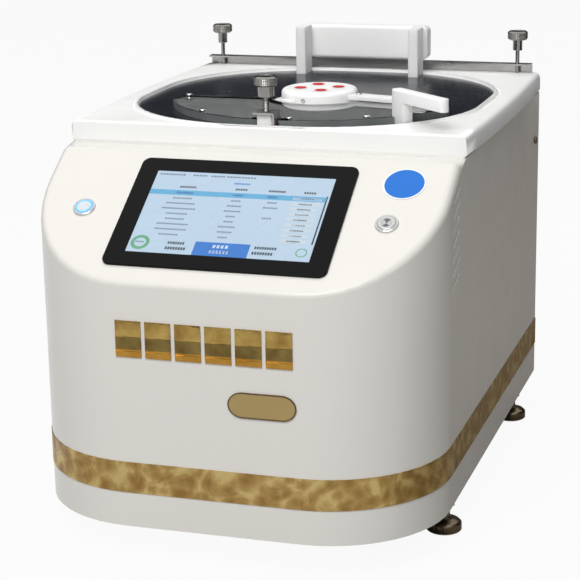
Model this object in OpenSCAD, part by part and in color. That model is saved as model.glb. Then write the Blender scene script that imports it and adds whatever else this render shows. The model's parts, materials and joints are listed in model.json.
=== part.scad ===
// Bench spin coater for single wafers: a painted housing with a sloping
// control panel, a plastic deck with a lift-off lid, and a vacuum chuck on a
// motor spindle inside a splash bowl.
// Millimetres. +X right, +Y to the rear, +Z up. The origin lies on the bench,
// under the middle of the outline, rear ports included.

/* [Housing] */
// Width of the painted housing
body_w = 348.5; // [340:0.5:356]
// Depth of the housing, front face to rear edge
body_d = 492; // [480:1:520]
// Height of the housing, underside to deck
body_h = 288; // [276:1:310]
// Radius of the two front corners in plan
corner_r = 101; // [80:1:115]
// Edge rounding round the sloping control panel
edge_r = 7; // [5:0.5:10]
// Sheet thickness of the housing
shell_t = 2.5; // [2:0.1:3.5]
// Slope of the control panel from level
panel_angle = 32.2; // [28:0.1:36]
// Flat ledge between the deck and the control panel
ledge_d = 22.4; // [16:0.1:28]
// From the front face to the front edge of the deck
panel_reach = 151; // [146:1:160]
// How far the exhaust port stands out behind the rear edge
rear_reach = 24; // [20:1:30]

/* [Trim] */
// Height of the gold band
band_h = 26.3; // [15:0.1:35]
// Lower edge of the gold band above the underside of the housing
band_up = 29.8; // [20:0.1:40]
// Thickness of the gold band
band_t = 0.6; // [0.4:0.1:1.2]
// Length of the blank badge plate
badge_w = 57; // [40:1:57]
// Height of the blank badge plate
badge_h = 24; // [16:1:28]
// Thickness of the badge plate
badge_t = 1.2; // [0.8:0.1:2]
// Badge centre to the right of the middle
badge_x = 45; // [0:1:45]
// Badge centre below the deck
badge_drop = 174.5; // [150:0.5:190]
// Diameter of the plain blue marker disc
marker_dia = 35; // [25:1:36]
// Thickness of the marker disc
marker_t = 0.6; // [0.4:0.1:1]
// Marker centre to the right of the middle
marker_x = 133.8; // [130:0.1:136]
// Marker centre down the slope
marker_s = 26.5; // [24:0.1:30]

/* [Vents] */
// Slots in each side
vent_count = 7; // [4:1:8]
// Spacing of the vent slots
vent_pitch = 11.8; // [9:0.1:13]
// Length of a vent slot
vent_len = 25.5; // [18:0.5:28]
// Width of a vent slot
vent_w = 3; // [2:0.1:4]
// Fall of a vent slot towards the front
vent_angle = 24; // [10:1:35]
// Top slot below the deck
vent_drop = 22.7; // [20:0.1:30]
// Slot centre in front of the deck
vent_fore = 34.5; // [30:0.5:38]

/* [Display] */
// Width of the black touch bezel
bezel_w = 188; // [170:1:200]
// Height of the bezel along the slope
bezel_h = 123; // [115:1:130]
// Corner radius of the bezel
bezel_r = 7; // [4:0.5:10]
// Thickness of the bezel
bezel_t = 2.2; // [1.5:0.1:3]
// Bezel's top edge down the slope from the ledge
bezel_s = 11.1; // [9:0.1:16]
// Width of the lit screen
screen_w = 154; // [140:1:160]
// Height of the lit screen
screen_h = 93; // [85:1:100]
// Screen's top edge below the bezel's top edge
screen_top = 15.2; // [12:0.1:18]
// Depth of the display module behind the panel
module_d = 26; // [18:1:30]

/* [Push buttons] */
// Flange diameter of a push button
button_dia = 19; // [17:0.5:22]
// Diameter of the pressed cap
cap_dia = 14.6; // [12:0.1:15]
// Travel of the cap
button_travel = 1.5; // [1:0.1:2.5]
// Button centres on either side of the middle
button_x = 129; // [120:1:132]
// Button centres down the slope
button_s = 72; // [68:1:78]
// Barrel diameter behind the panel
barrel_dia = 16; // [15:0.5:17]
// Barrel length behind the panel
barrel_len = 24; // [18:1:28]

/* [Deck] */
// Width of the deck at its front and rear corners
deck_w = 349.5; // [345:0.5:356]
// How far each side of the deck bows out
deck_bow = 4; // [1:0.5:6]
// Thickness of the deck slab
deck_t = 19; // [16:0.5:25]
// Height of the lip round the lid
lip_h = 1.2; // [0.6:0.1:2]
// Width of the lip round the lid
lip_w = 2.4; // [1.6:0.1:2.6]
// Depth of the shallow drip tray round the lip
moat_d = 1.4; // [0.8:0.1:2]
// Width of the drip tray outside the lip
moat_w = 4; // [3:0.5:6]

/* [Lid] */
// Width of the lid
lid_w = 312; // [306:1:314]
// Depth of the lid
lid_d = 319; // [316:1:320]
// Corner radius of the lid
lid_r = 131; // [110:1:140]
// Thickness of the lid plate
lid_t = 5; // [4:0.5:6]
// Top of the lid below the top of the deck
lid_sunk = 1.6; // [1:0.1:3]
// Lid centre behind the deck's front edge
lid_back = 163.4; // [163:0.1:165]
// Gap round the lid and round each loose-fitting piece
fit_gap = 0.4; // [0.3:0.05:0.6]
// Radius of the window's front edge
window_r = 143; // [138:0.5:145]
// Centre of that radius to the right of the middle
window_x = 6; // [2:0.5:8]
// Centre of that radius behind the deck's front edge
window_back = 153; // [151:0.5:156]
// Rounding of the window's two rear corners
window_round = 20; // [12:1:26]
// Margin from the window's edge to the opening in the lid
window_lap = 8; // [7:0.5:11]
// Thickness of the window
window_t = 6; // [4:0.5:7]
// Straight rear edge of the window in front of the turret axis
window_rear = 16; // [12:1:24]

/* [Dispense turret] */
// Turret axis to the right of the middle
turret_x = 9.5; // [4:0.5:12]
// Turret axis behind the deck's front edge
turret_back = 136.5; // [136:0.5:140]
// Radius of the turret puck
turret_r = 34.5; // [32:0.5:38]
// Height of the turret puck
turret_h = 12.5; // [10:0.5:15]
// Radius of the collar under the turret
collar_r = 43.5; // [40:0.5:46]
// Thickness of the collar
collar_t = 1.5; // [1:0.1:2]
// Radius of the port hole through the lid
port_r = 30; // [26:0.5:31]
// Radius of a port plug
plug_r = 5.6; // [4:0.1:6]
// Length of the holding arm, axis to axis
arm_len = 103; // [95:1:104]
// Width of the holding arm
arm_w = 15; // [12:0.5:18]
// Thickness of the holding arm
arm_t = 4; // [3:0.5:5]
// Direction of the arm below the X axis
arm_angle = 14.7; // [12:0.1:18]

/* [Grips] */
// Post centres of the rear handle on either side of the middle
post_x = 57.2; // [50:0.5:65]
// Width of a handle post
post_w = 10; // [8:0.5:12]
// Depth of a handle post
post_d = 24; // [18:0.5:26]
// Front face of the posts behind the deck's front edge
post_back = 295; // [288:1:296]
// Height of the handle above the lid
handle_h = 46.5; // [42:0.5:52]
// Length of the handle's grip bar
grip_w = 132; // [128:1:150]
// Thickness of the grip bar
grip_d = 16; // [12:0.5:16]
// Height of the grip bar
grip_h = 29; // [22:0.5:31]
// Inner end of the front grip to the right of the middle
tab_x = 102.5; // [98:0.5:103]
// Inner end of the front grip behind the deck's front edge
tab_back = 54; // [53:0.5:58]
// Length of the front grip
tab_len = 72; // [60:1:74]
// Thickness of the front grip
tab_w = 10; // [8:0.5:12]
// Height of the front grip's bar
tab_h = 11; // [9:0.5:13]
// Depth of the front grip's post
tab_post = 16; // [12:0.5:18]
// Height of the front grip above the lid
tab_top = 29.6; // [26:0.1:34]
// Direction of the front grip below the X axis
tab_angle = 42; // [36:1:46]

/* [Thumbscrews] */
// Radius of a thumbscrew head
head_r = 10; // [8:0.5:11]
// Height of a thumbscrew head
head_h = 8.5; // [6:0.5:10]
// Radius of a thumbscrew collar
neck_r = 4.7; // [4:0.1:6]
// Length of a thumbscrew collar
neck_h = 10.5; // [8:0.5:12]
// Radius of a thumbscrew pin
pin_r = 2; // [1.5:0.1:2.5]
// Raised height of the rear thumbscrews, and their travel
screw_lift = 13; // [8:0.5:15]
// Rear thumbscrews on either side of the middle
screw_x = 153; // [140:1:155]
// Length of the rear rail
rail_w = 334; // [320:1:338]
// Depth of the rear rail
rail_d = 10.5; // [10:0.5:11]
// Height of the rear rail
rail_h = 9; // [7:0.5:10]
// Sheet thickness of the rail and of the latch bracket
sheet_t = 1.5; // [1:0.1:2]
// Width of the front latch block
block_w = 13.5; // [11:0.5:15]
// Depth of the front latch block
block_d = 12; // [10:0.5:13]
// Height of the front latch block
block_h = 12; // [11:0.5:14]
// Raised height of the front latch screw, filled by its spring
latch_lift = 12.5; // [11:0.5:14]
// Travel of the front latch screw
latch_travel = 8; // [5:0.5:8]
// Width of the latch bracket
bracket_w = 19; // [17:0.5:20]
// Radius of the latch screw's collar
latch_neck_r = 7; // [6:0.1:8]
// Outer radius of the latch spring
spring_r = 3.1; // [2.9:0.1:4]
// Wire radius of the latch spring
wire_r = 0.4; // [0.3:0.05:0.5]

/* [Bowl and spindle] */
// Inner radius of the splash bowl
bowl_r = 138; // [130:1:140]
// Wall and floor thickness of the bowl
bowl_t = 4; // [3:0.5:5]
// Inner depth of the bowl below the deck
bowl_d = 84; // [75:1:90]
// Radius of the vacuum chuck
chuck_r = 50; // [40:1:60]
// Thickness of the chuck disc
chuck_t = 7; // [5:0.5:9]
// Width of the bowl's hanging rim
rim_w = 6; // [4:0.5:7]
// Thickness of the bowl's hanging rim
rim_t = 3; // [2:0.5:4]
// Top of the chuck below the underside of the deck
chuck_drop = 20; // [16:1:26]
// Radius of the spindle shaft
shaft_r = 8; // [7:0.5:10]
// Radius of the spindle motor
motor_r = 43; // [38:1:48]
// Length of the spindle motor
motor_h = 96; // [85:1:105]
// Radial running clearance round the spindle and the screws
run_gap = 0.08; // [0.05:0.01:0.1]
// Thickness of the motor plate
plate_t = 6; // [5:0.5:8]

/* [Base and feet] */
// Height of the housing above the bench
foot_h = 28.5; // [26:0.5:34]
// Radius of a foot pad
foot_r = 15; // [13:0.5:15]
// Height of a foot pad
pad_h = 9; // [7:0.5:11]
// Radius of a foot stud
stud_r = 5; // [4:0.5:6]
// Feet on either side of the middle
foot_x = 163; // [155:0.5:163]
// Front feet ahead of the deck's front edge
foot_fore = 24; // [18:1:30]
// Rear feet behind the deck's front edge
foot_aft = 272; // [260:1:290]
// Thickness of the base plate
base_t = 4; // [3:0.5:5]
// Thickness of the rear panel
rear_t = 2; // [1.5:0.1:3]
// Radius of the posts under the motor plate
post_r = 8; // [6:0.5:10]

/* [Rear services] */
// Outer radius of the exhaust spigot
exhaust_r = 19; // [16:0.5:22]
// Outer radius of the drain spigot
drain_r = 7; // [6:0.5:8]
// Drain spigot to the left of the middle
drain_x = 60; // [50:1:70]
// Wall thickness of both spigots
spigot_t = 2; // [1.5:0.1:2.5]
// Outer radius of the vacuum fitting and its hose
hose_r = 4; // [3:0.5:5]
// Side of the square fan
fan_w = 80; // [70:1:92]
// Depth of the fan
fan_d = 25; // [20:1:32]
// Blades on the fan rotor
blade_count = 7; // [5:1:9]
// Fan centre to the right of the middle
fan_x = 88; // [80:1:96]
// Fan centre above the bench
fan_z = 128; // [110:1:150]
// Mains inlet and switch to the left of the middle
inlet_x = 118; // [105:1:130]
// Mains inlet above the bench
inlet_z = 78; // [66:1:90]
// Mains switch above the mains inlet
switch_up = 46; // [40:1:60]

/* [Hidden] */
$fn = 64;
eps = 0.01;
corner_steps = 12;
dome_steps = 6;
front_steps = 48;
bow_steps = 10;
hub_r = 18;
hub_h = 14;
bearing_r = 16;
bearing_h = 9;
cap_t = 4;
screw_head_r = 3.4;
screw_head_h = 2.2;
hb = body_w / 2;
front_y = -(body_d + rear_reach - badge_t) / 2;
back_y = front_y + body_d;
deck_y = front_y + panel_reach;
deck_d = back_y - deck_y;
ledge_y = deck_y - ledge_d;
base_z = foot_h;
deck_z = base_z + body_h;
deck_top = deck_z + deck_t;
lid_y = deck_y + lid_back;
lid_z = deck_top - lid_sunk;
lid_under = lid_z - lid_t;
turret_y = deck_y + turret_back;
turret_z = lid_z + collar_t;
arm_z = lid_z + window_t + fit_gap;
pivot_x = turret_x + arm_len * cos(arm_angle);
pivot_y = turret_y - arm_len * sin(arm_angle);
window_y = deck_y + window_back;
rail_y = back_y - rail_d;
rail_top = deck_top + rail_h;
latch_y = lid_y - lid_d / 2 + block_d / 2 + fit_gap;
latch_top = lid_z + block_h + sheet_t;
bore_r = pin_r + run_gap;
bowl_floor = deck_z - bowl_d;
plate_z = bowl_floor - bowl_t;
motor_top = plate_z - plate_t;
chuck_z = deck_z - chuck_drop;
rim_z = lid_under - fit_gap - rim_t;
exhaust_z = bowl_floor + exhaust_r + 6;
drain_z = bowl_floor + drain_r + 1.5;
union_z = motor_top - motor_h - 22;
screw_y = rail_y + (rail_d - sheet_t) / 2;
inner_w = body_w - 2 * shell_t;
rear_in = back_y - shell_t - rear_t;

// ---- shared geometry ----

// Points of an arc in steps, so that mating walls share the same flats.
function arc(cx, cy, r, a0, a1, steps = corner_steps) =
    [for (i = [0:steps])
        let (a = a0 + (a1 - a0) * i / steps) [cx + r * cos(a), cy + r * sin(a)]];

// Plan outline of the housing, moved in by inset.
function plan(inset) = concat(
    [[hb - inset, back_y]],
    arc(hb - corner_r, front_y + corner_r, corner_r - inset, 0, -90),
    arc(-(hb - corner_r), front_y + corner_r, corner_r - inset, -90, -180),
    [[-(hb - inset), back_y]]);

// Height of the sloping panel's surface at y.
function slope_z(y) = deck_z - (ledge_y - y) * tan(panel_angle);

// Puts its children on the panel: local +Z points out, +Y up the slope.
module on_panel(x, s)
    translate([x, ledge_y - s * cos(panel_angle), deck_z - s * sin(panel_angle)])
        rotate([panel_angle, 0, 0]) children();

// Puts its children on the rear panel's outside: local +Z points to the rear.
module on_rear(x, z)
    translate([x, back_y - shell_t, z]) rotate([-90, 0, 0]) children();

module rounded(w, d, r) {
    square([w - 2 * r, d], center = true);
    square([w, d - 2 * r], center = true);
    for (sx = [-1, 1], sy = [-1, 1])
        translate([sx * (w / 2 - r), sy * (d / 2 - r)]) circle(r);
}

// Slot along Y with round ends, drawn by its overall length.
module slot(w, len) {
    square([w, len - w], center = true);
    for (s = [-1, 1]) translate([0, s * (len - w) / 2]) circle(d = w);
}

module slab(w, d, r, t) linear_extrude(t) rounded(w, d, r);

module tube(r_out, r_in, h) difference() {
    cylinder(r = r_out, h = h);
    translate([0, 0, -1]) cylinder(r = r_in, h = h + 2);
}

// Quarter-round button that the hull rolls along the panel's edge.
module edge_dome(r)
    rotate_extrude($fn = 24)
        polygon(concat([[0, 0]],
            [for (i = [0:dome_steps]) let (a = 90 * i / dome_steps) r * [cos(a), sin(a)]]));

// ---- housing ----

// The flat of the sloping panel, as a thin sheared slab for the hull.
module panel_flat(inset) {
    r = edge_r - inset;
    rise = tan(panel_angle);
    drop = inset / cos(panel_angle);
    multmatrix([[1, 0, 0, 0], [0, 1, 0, 0],
                [0, rise, 1, deck_z - ledge_y * rise - drop - 1], [0, 0, 0, 1]])
        linear_extrude(1)
            translate([0, -r * sin(panel_angle)])
                polygon(concat([[hb - edge_r, ledge_y]],
                    arc(hb - corner_r, front_y + corner_r, corner_r - edge_r, 0, -90),
                    arc(-(hb - corner_r), front_y + corner_r, corner_r - edge_r, -90, -180),
                    [[-(hb - edge_r), ledge_y]]));
}

// Outer form of the housing, or its cavity when inset is the sheet thickness.
module housing_form(inset, below, behind) {
    r = edge_r - inset;
    hull() {
        translate([0, 0, base_z - below]) linear_extrude(1, scale = 0.99) polygon(plan(inset));
        translate([-(hb - inset), deck_y, deck_z - inset - 1])
            cube([body_w - 2 * inset, deck_d, 1]);
        translate([-(hb - inset), back_y - 1 + behind, base_z - below])
            cube([body_w - 2 * inset, 1, body_h + below - inset]);
        panel_flat(inset);
        for (s = [-1, 1]) {
            translate([s * (hb - edge_r), ledge_y + edge_r * tan(panel_angle / 2),
                       deck_z - edge_r]) edge_dome(r);
            for (i = [0:corner_steps]) {
                a = -90 * i / corner_steps;
                y = front_y + corner_r + (corner_r - edge_r) * sin(a);
                translate([s * (hb - corner_r + (corner_r - edge_r) * cos(a)), y,
                           slope_z(y) - edge_r / cos(panel_angle)])
                    rotate([0, 0, s > 0 ? a : 180 - a]) edge_dome(r);
            }
        }
    }
}

module vent_slots()
    for (i = [0:vent_count - 1])
        translate([0, deck_y - vent_fore, deck_z - vent_drop - i * vent_pitch])
            rotate([90 + vent_angle, 0, 0]) rotate([0, 90, 0])
                linear_extrude(body_w + 2, center = true) slot(vent_w, vent_len);

module housing_shell() color("#f3f1ea") difference() {
    housing_form(0, 0, 0);
    housing_form(shell_t, 1, 1);
    vent_slots();
    translate([0, lid_y, deck_z - shell_t - 1]) cylinder(r = bowl_r + bowl_t + 8, h = shell_t + 2);
    on_panel(0, bezel_s + bezel_h / 2)
        translate([0, 0, -shell_t - 2]) slab(bezel_w - 14, bezel_h - 14, 3, shell_t + 4);
    for (s = [-1, 1])
        on_panel(s * button_x, button_s)
            translate([0, 0, -shell_t - 2]) cylinder(d = barrel_dia + 2 * fit_gap, h = shell_t + 4);
}

module gold_band() color("#c9a45c")
    translate([0, 0, base_z + band_up]) linear_extrude(band_h) difference() {
        polygon(plan(-band_t));
        polygon(plan(0));
    }

module badge_plate() color("#c8a55e")
    translate([badge_x, front_y, deck_z - badge_drop]) rotate([90, 0, 0])
        linear_extrude(badge_t) rotate([0, 0, 90]) slot(badge_h, badge_w);

module round_marker() color("#1f6fc0")
    on_panel(marker_x, marker_s) cylinder(d = marker_dia, h = marker_t);

// ---- base, feet and rear panel ----

// Puts its children at the four foot positions, one at a time by side.
module at_foot(side, y) translate([side * foot_x, deck_y + y, 0]) children();

module base_plate() color("#b9bcbe") difference() {
    translate([0, 0, base_z]) linear_extrude(base_t) intersection() {
        polygon(plan(shell_t));
        translate([-hb, front_y]) square([body_w, rear_in - front_y]);
    }
    for (side = [-1, 1], y = [-foot_fore, foot_aft])
        at_foot(side, y) cylinder(r = stud_r + run_gap, h = deck_z);
    for (sx = [-1, 1], sy = [-1, 1])
        translate([sx * 40, lid_y + sy * 60, 0]) cylinder(r = 6, h = deck_z);
}

// Levelling foot: a dished pad on a threaded stud, held by a lock nut.
module foot() {
    rotate_extrude() polygon([
        [0, 0], [foot_r - 1, 0], [foot_r, 1], [foot_r, pad_h - 2], [foot_r - 2, pad_h],
        [stud_r + 2, pad_h + 2.5], [stud_r, pad_h + 2.5],
        [stud_r, foot_h + base_t + 6], [0, foot_h + base_t + 6]
    ]);
    translate([0, 0, foot_h - 6]) difference() {
        cylinder(r = stud_r * 1.8, h = 6, $fn = 6);
        translate([0, 0, -1]) cylinder(r = stud_r + run_gap, h = 8);
    }
}

module foot_front_left() color("#4b4d50") at_foot(-1, -foot_fore) foot();
module foot_front_right() color("#4b4d50") at_foot(1, -foot_fore) foot();
module foot_rear_left() color("#4b4d50") at_foot(-1, foot_aft) foot();
module foot_rear_right() color("#4b4d50") at_foot(1, foot_aft) foot();

panel_screw_x = inner_w / 2 - 10;

module at_panel_screws()
    for (side = [-1, 1], i = [0:3])
        on_rear(side * panel_screw_x, base_z + 24 + i * (body_h - 60) / 3) children();

module rear_panel() color("#e4e2db") difference() {
    union() {
        translate([-inner_w / 2, rear_in, base_z])
            cube([inner_w, rear_t, body_h - shell_t]);
        for (side = [-1, 1])
            translate([side > 0 ? inner_w / 2 - rear_t : -inner_w / 2, rear_in - 12,
                       base_z + base_t]) cube([rear_t, 13, body_h - shell_t - base_t]);
    }
    at_panel_screws() translate([0, 0, -rear_t - 1]) cylinder(r = 1.6 + run_gap, h = rear_t + 2);
    on_rear(0, exhaust_z) translate([0, 0, -rear_t - 1])
        cylinder(r = exhaust_r + run_gap, h = rear_t + 2);
    on_rear(-drain_x, drain_z) translate([0, 0, -rear_t - 1])
        cylinder(r = drain_r + run_gap, h = rear_t + 2);
    on_rear(0, union_z) translate([0, 0, -rear_t - 1])
        cylinder(r = hose_r + run_gap, h = rear_t + 2);
    on_rear(fan_x, fan_z) for (i = [0:19])
        rotate([0, 0, i * 18 - 90]) translate([0, fan_w * 0.29, -rear_t - 1])
            linear_extrude(rear_t + 2) slot(3, fan_w * 0.28);
    on_rear(-inlet_x, inlet_z) translate([0, 0, -rear_t - 1]) slab(28, 21, 2, rear_t + 2);
    on_rear(-inlet_x, inlet_z + switch_up) translate([0, 0, -rear_t - 1])
        slab(20, 27, 2, rear_t + 2);
}

module panel_screws() color("#c4c6c8") at_panel_screws() {
    dome_head(screw_head_r, screw_head_h);
    translate([0, 0, -rear_t - 2]) cylinder(r = 1.6, h = rear_t + 2 + eps);
}

// Low domed screw head.
module dome_head(r, h)
    rotate_extrude() polygon(concat([[0, 0]],
        [for (i = [0:dome_steps]) let (a = 90 * i / dome_steps)
            [r * cos(a), h * 0.35 + h * 0.65 * sin(a)]]));

// ---- display and push buttons ----

module touch_bezel() color("#17181a") on_panel(0, bezel_s + bezel_h / 2) difference() {
    slab(bezel_w, bezel_h, bezel_r, bezel_t);
    translate([-screen_w / 2, bezel_h / 2 - screen_top - screen_h, bezel_t - 0.8])
        cube([screen_w, screen_h, 2]);
}

module lcd_panel() color("#9db6cf") on_panel(0, bezel_s + bezel_h / 2)
    translate([-screen_w / 2, bezel_h / 2 - screen_top - screen_h, bezel_t - 0.8])
        cube([screen_w, screen_h, 0.6]);

module display_module() color("#55585c") on_panel(0, bezel_s + bezel_h / 2)
    translate([0, 0, -module_d]) difference() {
        slab(bezel_w - 16, bezel_h - 16, 3, module_d);
        for (i = [-3:3])
            translate([i * 20, 0, -1]) linear_extrude(4) slot(8, bezel_h - 50);
    }

module button_body() difference() {
    union() {
        rotate_extrude() polygon([
            [0, 0], [button_dia / 2, 0], [button_dia / 2, 0.8], [button_dia / 2 - 1, 1.8],
            [0, 1.8]
        ]);
        translate([0, 0, -barrel_len]) cylinder(d = barrel_dia, h = barrel_len + eps);
        translate([0, 0, -shell_t - 4.5]) cylinder(r = barrel_dia / 2 + 3.4, h = 4.5, $fn = 6);
    }
    translate([0, 0, 1.8 - cap_t - button_travel - 0.5])
        cylinder(r = cap_dia / 2 + fit_gap / 2, h = 20);
}

module button_cap() {
    translate([0, 0, 2.2 - cap_t]) rotate_extrude() polygon([
        [0, 0], [cap_dia / 2, 0], [cap_dia / 2, cap_t - 0.5], [cap_dia / 2 - 0.5, cap_t],
        [0, cap_t]
    ]);
}

module left_button_body() color("#b9bcc0") on_panel(-button_x, button_s) button_body();
module left_button_cap() color("#e8f0f8") on_panel(-button_x, button_s) button_cap();
module right_button_body() color("#b9bcc0") on_panel(button_x, button_s) button_body();
module right_button_cap() color("#a9acb0") on_panel(button_x, button_s) button_cap();

// ---- deck ----

// How far an edge of radius r draws back at the distance below its face.
function round_in(r, below) = below < r ? r - sqrt(r * r - (r - below) * (r - below)) : 0;

// Plan outline of the deck: sides bowed outwards, front corners square.
function deck_side(side, inset, y0) =
    [for (i = [0:bow_steps]) let (t = i / bow_steps, u = 2 * t - 1)
        [side * (deck_w / 2 - inset + deck_bow * (1 - u * u)),
         y0 + (back_y - y0) * t]];
function reversed(list) = [for (i = [len(list) - 1:-1:0]) list[i]];
function deck_plan(inset, front) =
    concat(deck_side(1, inset, deck_y + front), reversed(deck_side(-1, inset, deck_y + front)));

module lid_outline(grow) translate([0, lid_y])
    rounded(lid_w + 2 * grow, lid_d + 2 * grow, lid_r + grow);

module at_rear_screws()
    for (side = [-1, 1]) translate([side * screw_x, screw_y, 0]) children();

module deck_plate() color("#f7f7f4") {
    difference() {
        hull() {
            for (below = [0, 0.5, 1.2, 2, 3.5, 6])
                translate([0, 0, deck_top - below - 0.05]) linear_extrude(0.05)
                    polygon(deck_plan(round_in(6, below), round_in(2, below)));
            translate([0, 0, deck_z]) linear_extrude(0.05) polygon(deck_plan(2.5, 0.5));
            translate([0, 0, deck_z + 2.5]) linear_extrude(0.05) polygon(deck_plan(0, 0));
        }
        translate([0, 0, lid_under]) linear_extrude(deck_t) lid_outline(fit_gap);
        translate([0, 0, deck_top - moat_d]) linear_extrude(deck_t) intersection() {
            difference() {
                lid_outline(fit_gap + lip_w + moat_w);
                lid_outline(fit_gap + lip_w);
            }
            translate([-deck_w, deck_y + lip_w + moat_w]) square([2 * deck_w, deck_d]);
        }
        translate([0, lid_y, deck_z - 1]) cylinder(r = bowl_r + bowl_t + fit_gap, h = deck_t);
        translate([0, lid_y, lid_under - rim_t - fit_gap])
            cylinder(r = bowl_r + bowl_t + rim_w + fit_gap, h = deck_t);
        translate([0, latch_y, deck_z - 1]) cylinder(r = bore_r, h = deck_t);
        at_rear_screws() translate([0, 0, deck_z - 1]) cylinder(r = bore_r, h = deck_t + 2);
    }
    translate([0, 0, deck_top]) linear_extrude(lip_h) difference() {
        lid_outline(fit_gap + lip_w);
        lid_outline(fit_gap);
    }
}

// Rail bent to an inverted L, its back wall standing on the deck.
module rear_rail() color("#c2c4c6") difference() {
    translate([-rail_w / 2, 0, 0]) rotate([90, 0, 90]) linear_extrude(rail_w) polygon([
        [rail_y, rail_top], [rail_y, rail_top - sheet_t],
        [back_y - sheet_t, rail_top - sheet_t], [back_y - sheet_t, deck_top],
        [back_y, deck_top], [back_y, rail_top]
    ]);
    at_rear_screws() translate([0, 0, deck_top]) cylinder(r = bore_r, h = rail_h + 1);
}

// Thumbscrew standing on the origin: head, collar, and a pin of length pin_l below.
module thumbscrew(neck, neck_len, pin_l) {
    head_z = neck_len;
    rotate_extrude() polygon([
        [0, -pin_l], [pin_r - 0.4, -pin_l], [pin_r, 0.4 - pin_l], [pin_r, 0],
        [neck - 0.4, 0], [neck, 0.4], [neck, head_z],
        [head_r - 0.8, head_z], [head_r, head_z + 0.8],
        [head_r, head_z + head_h - 1.2], [head_r - 1.2, head_z + head_h],
        [0, head_z + head_h]
    ]);
}

module rear_screw() translate([0, screw_y, rail_top + screw_lift])
    thumbscrew(neck_r, neck_h, rail_h + deck_t - 2);

module rear_left_thumbscrew() color("#c9cacb") translate([-screw_x, 0, 0]) rear_screw();
module rear_right_thumbscrew() color("#c9cacb") translate([screw_x, 0, 0]) rear_screw();

// ---- lid ----

// Angle at which the window's corner circle meets its front arc, and its centre.
function corner_dx(inset) = sqrt(pow(window_r - window_round, 2) - pow(corner_dy(), 2));
function corner_dy() = turret_y - window_rear - window_round - window_y;

// Window outline drawn in from its edge by inset.
module window_outline(inset) {
    r = window_r - inset;
    c = window_round - inset;
    dx = corner_dx(inset);
    dy = corner_dy();
    a = atan2(dy, dx);
    polygon(concat(
        arc(window_x - dx, window_y + dy, c, 90, 180 - a),
        arc(window_x, window_y, r, 180 - a, 360 + a, front_steps),
        arc(window_x + dx, window_y + dy, c, 360 + a, 450)));
}

module at_tab() translate([tab_x, deck_y + tab_back, 0]) rotate([0, 0, -tab_angle]) children();

module at_window_screws() {
    r = window_r - window_lap + 0.5;
    for (a = [237, 275, 303])
        translate([window_x + r * cos(a), window_y + r * sin(a), lid_z + window_t]) children();
    translate([window_x - corner_dx(0) - 3, turret_y - window_rear - window_lap + 2,
               lid_z + window_t]) children();
}

module lid_plate() color("#2a2d33") difference() {
    translate([0, 0, lid_under]) linear_extrude(lid_t) difference() {
        lid_outline(0);
        difference() {
            window_outline(window_lap);
            translate([turret_x, turret_y]) circle(collar_r + window_lap);
            translate([0, latch_y])
                square([bracket_w + 2 * window_lap, bracket_w + 2 * window_lap], center = true);
        }
    }
    translate([turret_x, turret_y, lid_under - 1]) cylinder(r = port_r, h = lid_t + 2);
    translate([0, latch_y, lid_under - 1]) cylinder(r = bore_r, h = lid_t + 2);
}

module lid_window() color("#cfd8da", 0.4) difference() {
    translate([0, 0, lid_z]) linear_extrude(window_t) window_outline(0);
    translate([turret_x, turret_y, lid_z - 1]) cylinder(r = collar_r + fit_gap, h = window_t + 2);
    translate([-block_w / 2 - fit_gap, deck_y - 1, lid_z - 1])
        cube([block_w / 2 + bracket_w / 2 + 2 * fit_gap,
              latch_y + bracket_w / 2 + fit_gap - deck_y + 1, window_t + 2]);
    at_tab() translate([-fit_gap, -tab_w / 2 - fit_gap, lid_z - 1])
        cube([tab_len, tab_w + 2 * fit_gap, window_t + 2]);
}

module window_screws() color("#d3d5d6") at_window_screws() dome_head(screw_head_r, screw_head_h);

module port_collar() color("#dfe3e4") translate([turret_x, turret_y, lid_z])
    tube(collar_r, port_r, collar_t);

module port_turret() color("#f6f5f1") translate([turret_x, turret_y, turret_z]) difference() {
    rotate_extrude() polygon(concat([[0, 0], [turret_r - 1, 0], [turret_r, 1]],
        arc(turret_r - 4, turret_h - 4, 4, 0, 90, dome_steps), [[0, turret_h]]));
    for (i = [0:3])
        rotate([0, 0, 20 + 90 * i]) translate([turret_r / 2, 0, -1])
            cylinder(r = plug_r - 1, h = turret_h + 2);
}

module port_plugs() color("#d8262a") translate([turret_x, turret_y, turret_z + turret_h])
    for (i = [0:3])
        rotate([0, 0, 20 + 90 * i]) translate([turret_r / 2, 0, 0]) {
            dome_head(plug_r, 1.2);
            translate([0, 0, -5]) cylinder(r = plug_r - 1 - run_gap, h = 5 + eps);
        }

module turret_arm() color("#f6f5f1") difference() {
    translate([pivot_x, pivot_y, arm_z]) rotate([0, 0, 180 - arm_angle]) linear_extrude(arm_t)
        union() {
            circle(d = arm_w);
            translate([0, -arm_w / 2]) square([arm_len, arm_w]);
        }
    translate([turret_x, turret_y, arm_z - 1]) cylinder(r = turret_r + run_gap, h = arm_t + 2);
    translate([pivot_x, pivot_y, arm_z - 1]) cylinder(r = 3 + run_gap, h = arm_t + 2);
}

module arm_pivot_screw() color("#c9cacb") translate([pivot_x, pivot_y, lid_z + window_t]) {
    cylinder(r = 3, h = arm_t + 2 * fit_gap + eps);
    translate([0, 0, arm_t + 2 * fit_gap]) dome_head(arm_w * 0.35, 2.5);
}

module turret_stop() color("#f6f5f1") translate([turret_x, turret_y, lid_z + collar_t])
    rotate([0, 0, 237]) translate([turret_r + fit_gap, -7.5, 0]) cube([6, 15, 5.5]);

// Trims the foot of what stands on the lid to the lid's outline, clear of the deck's lip.
module lid_foot() {
    step_z = deck_top + lip_h + fit_gap;
    intersection() {
        union() children();
        translate([0, 0, lid_z]) linear_extrude(step_z - lid_z) lid_outline(0);
    }
    intersection() {
        union() children();
        translate([-hb, deck_y, step_z]) cube([body_w, deck_d, handle_h + 20]);
    }
}

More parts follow.
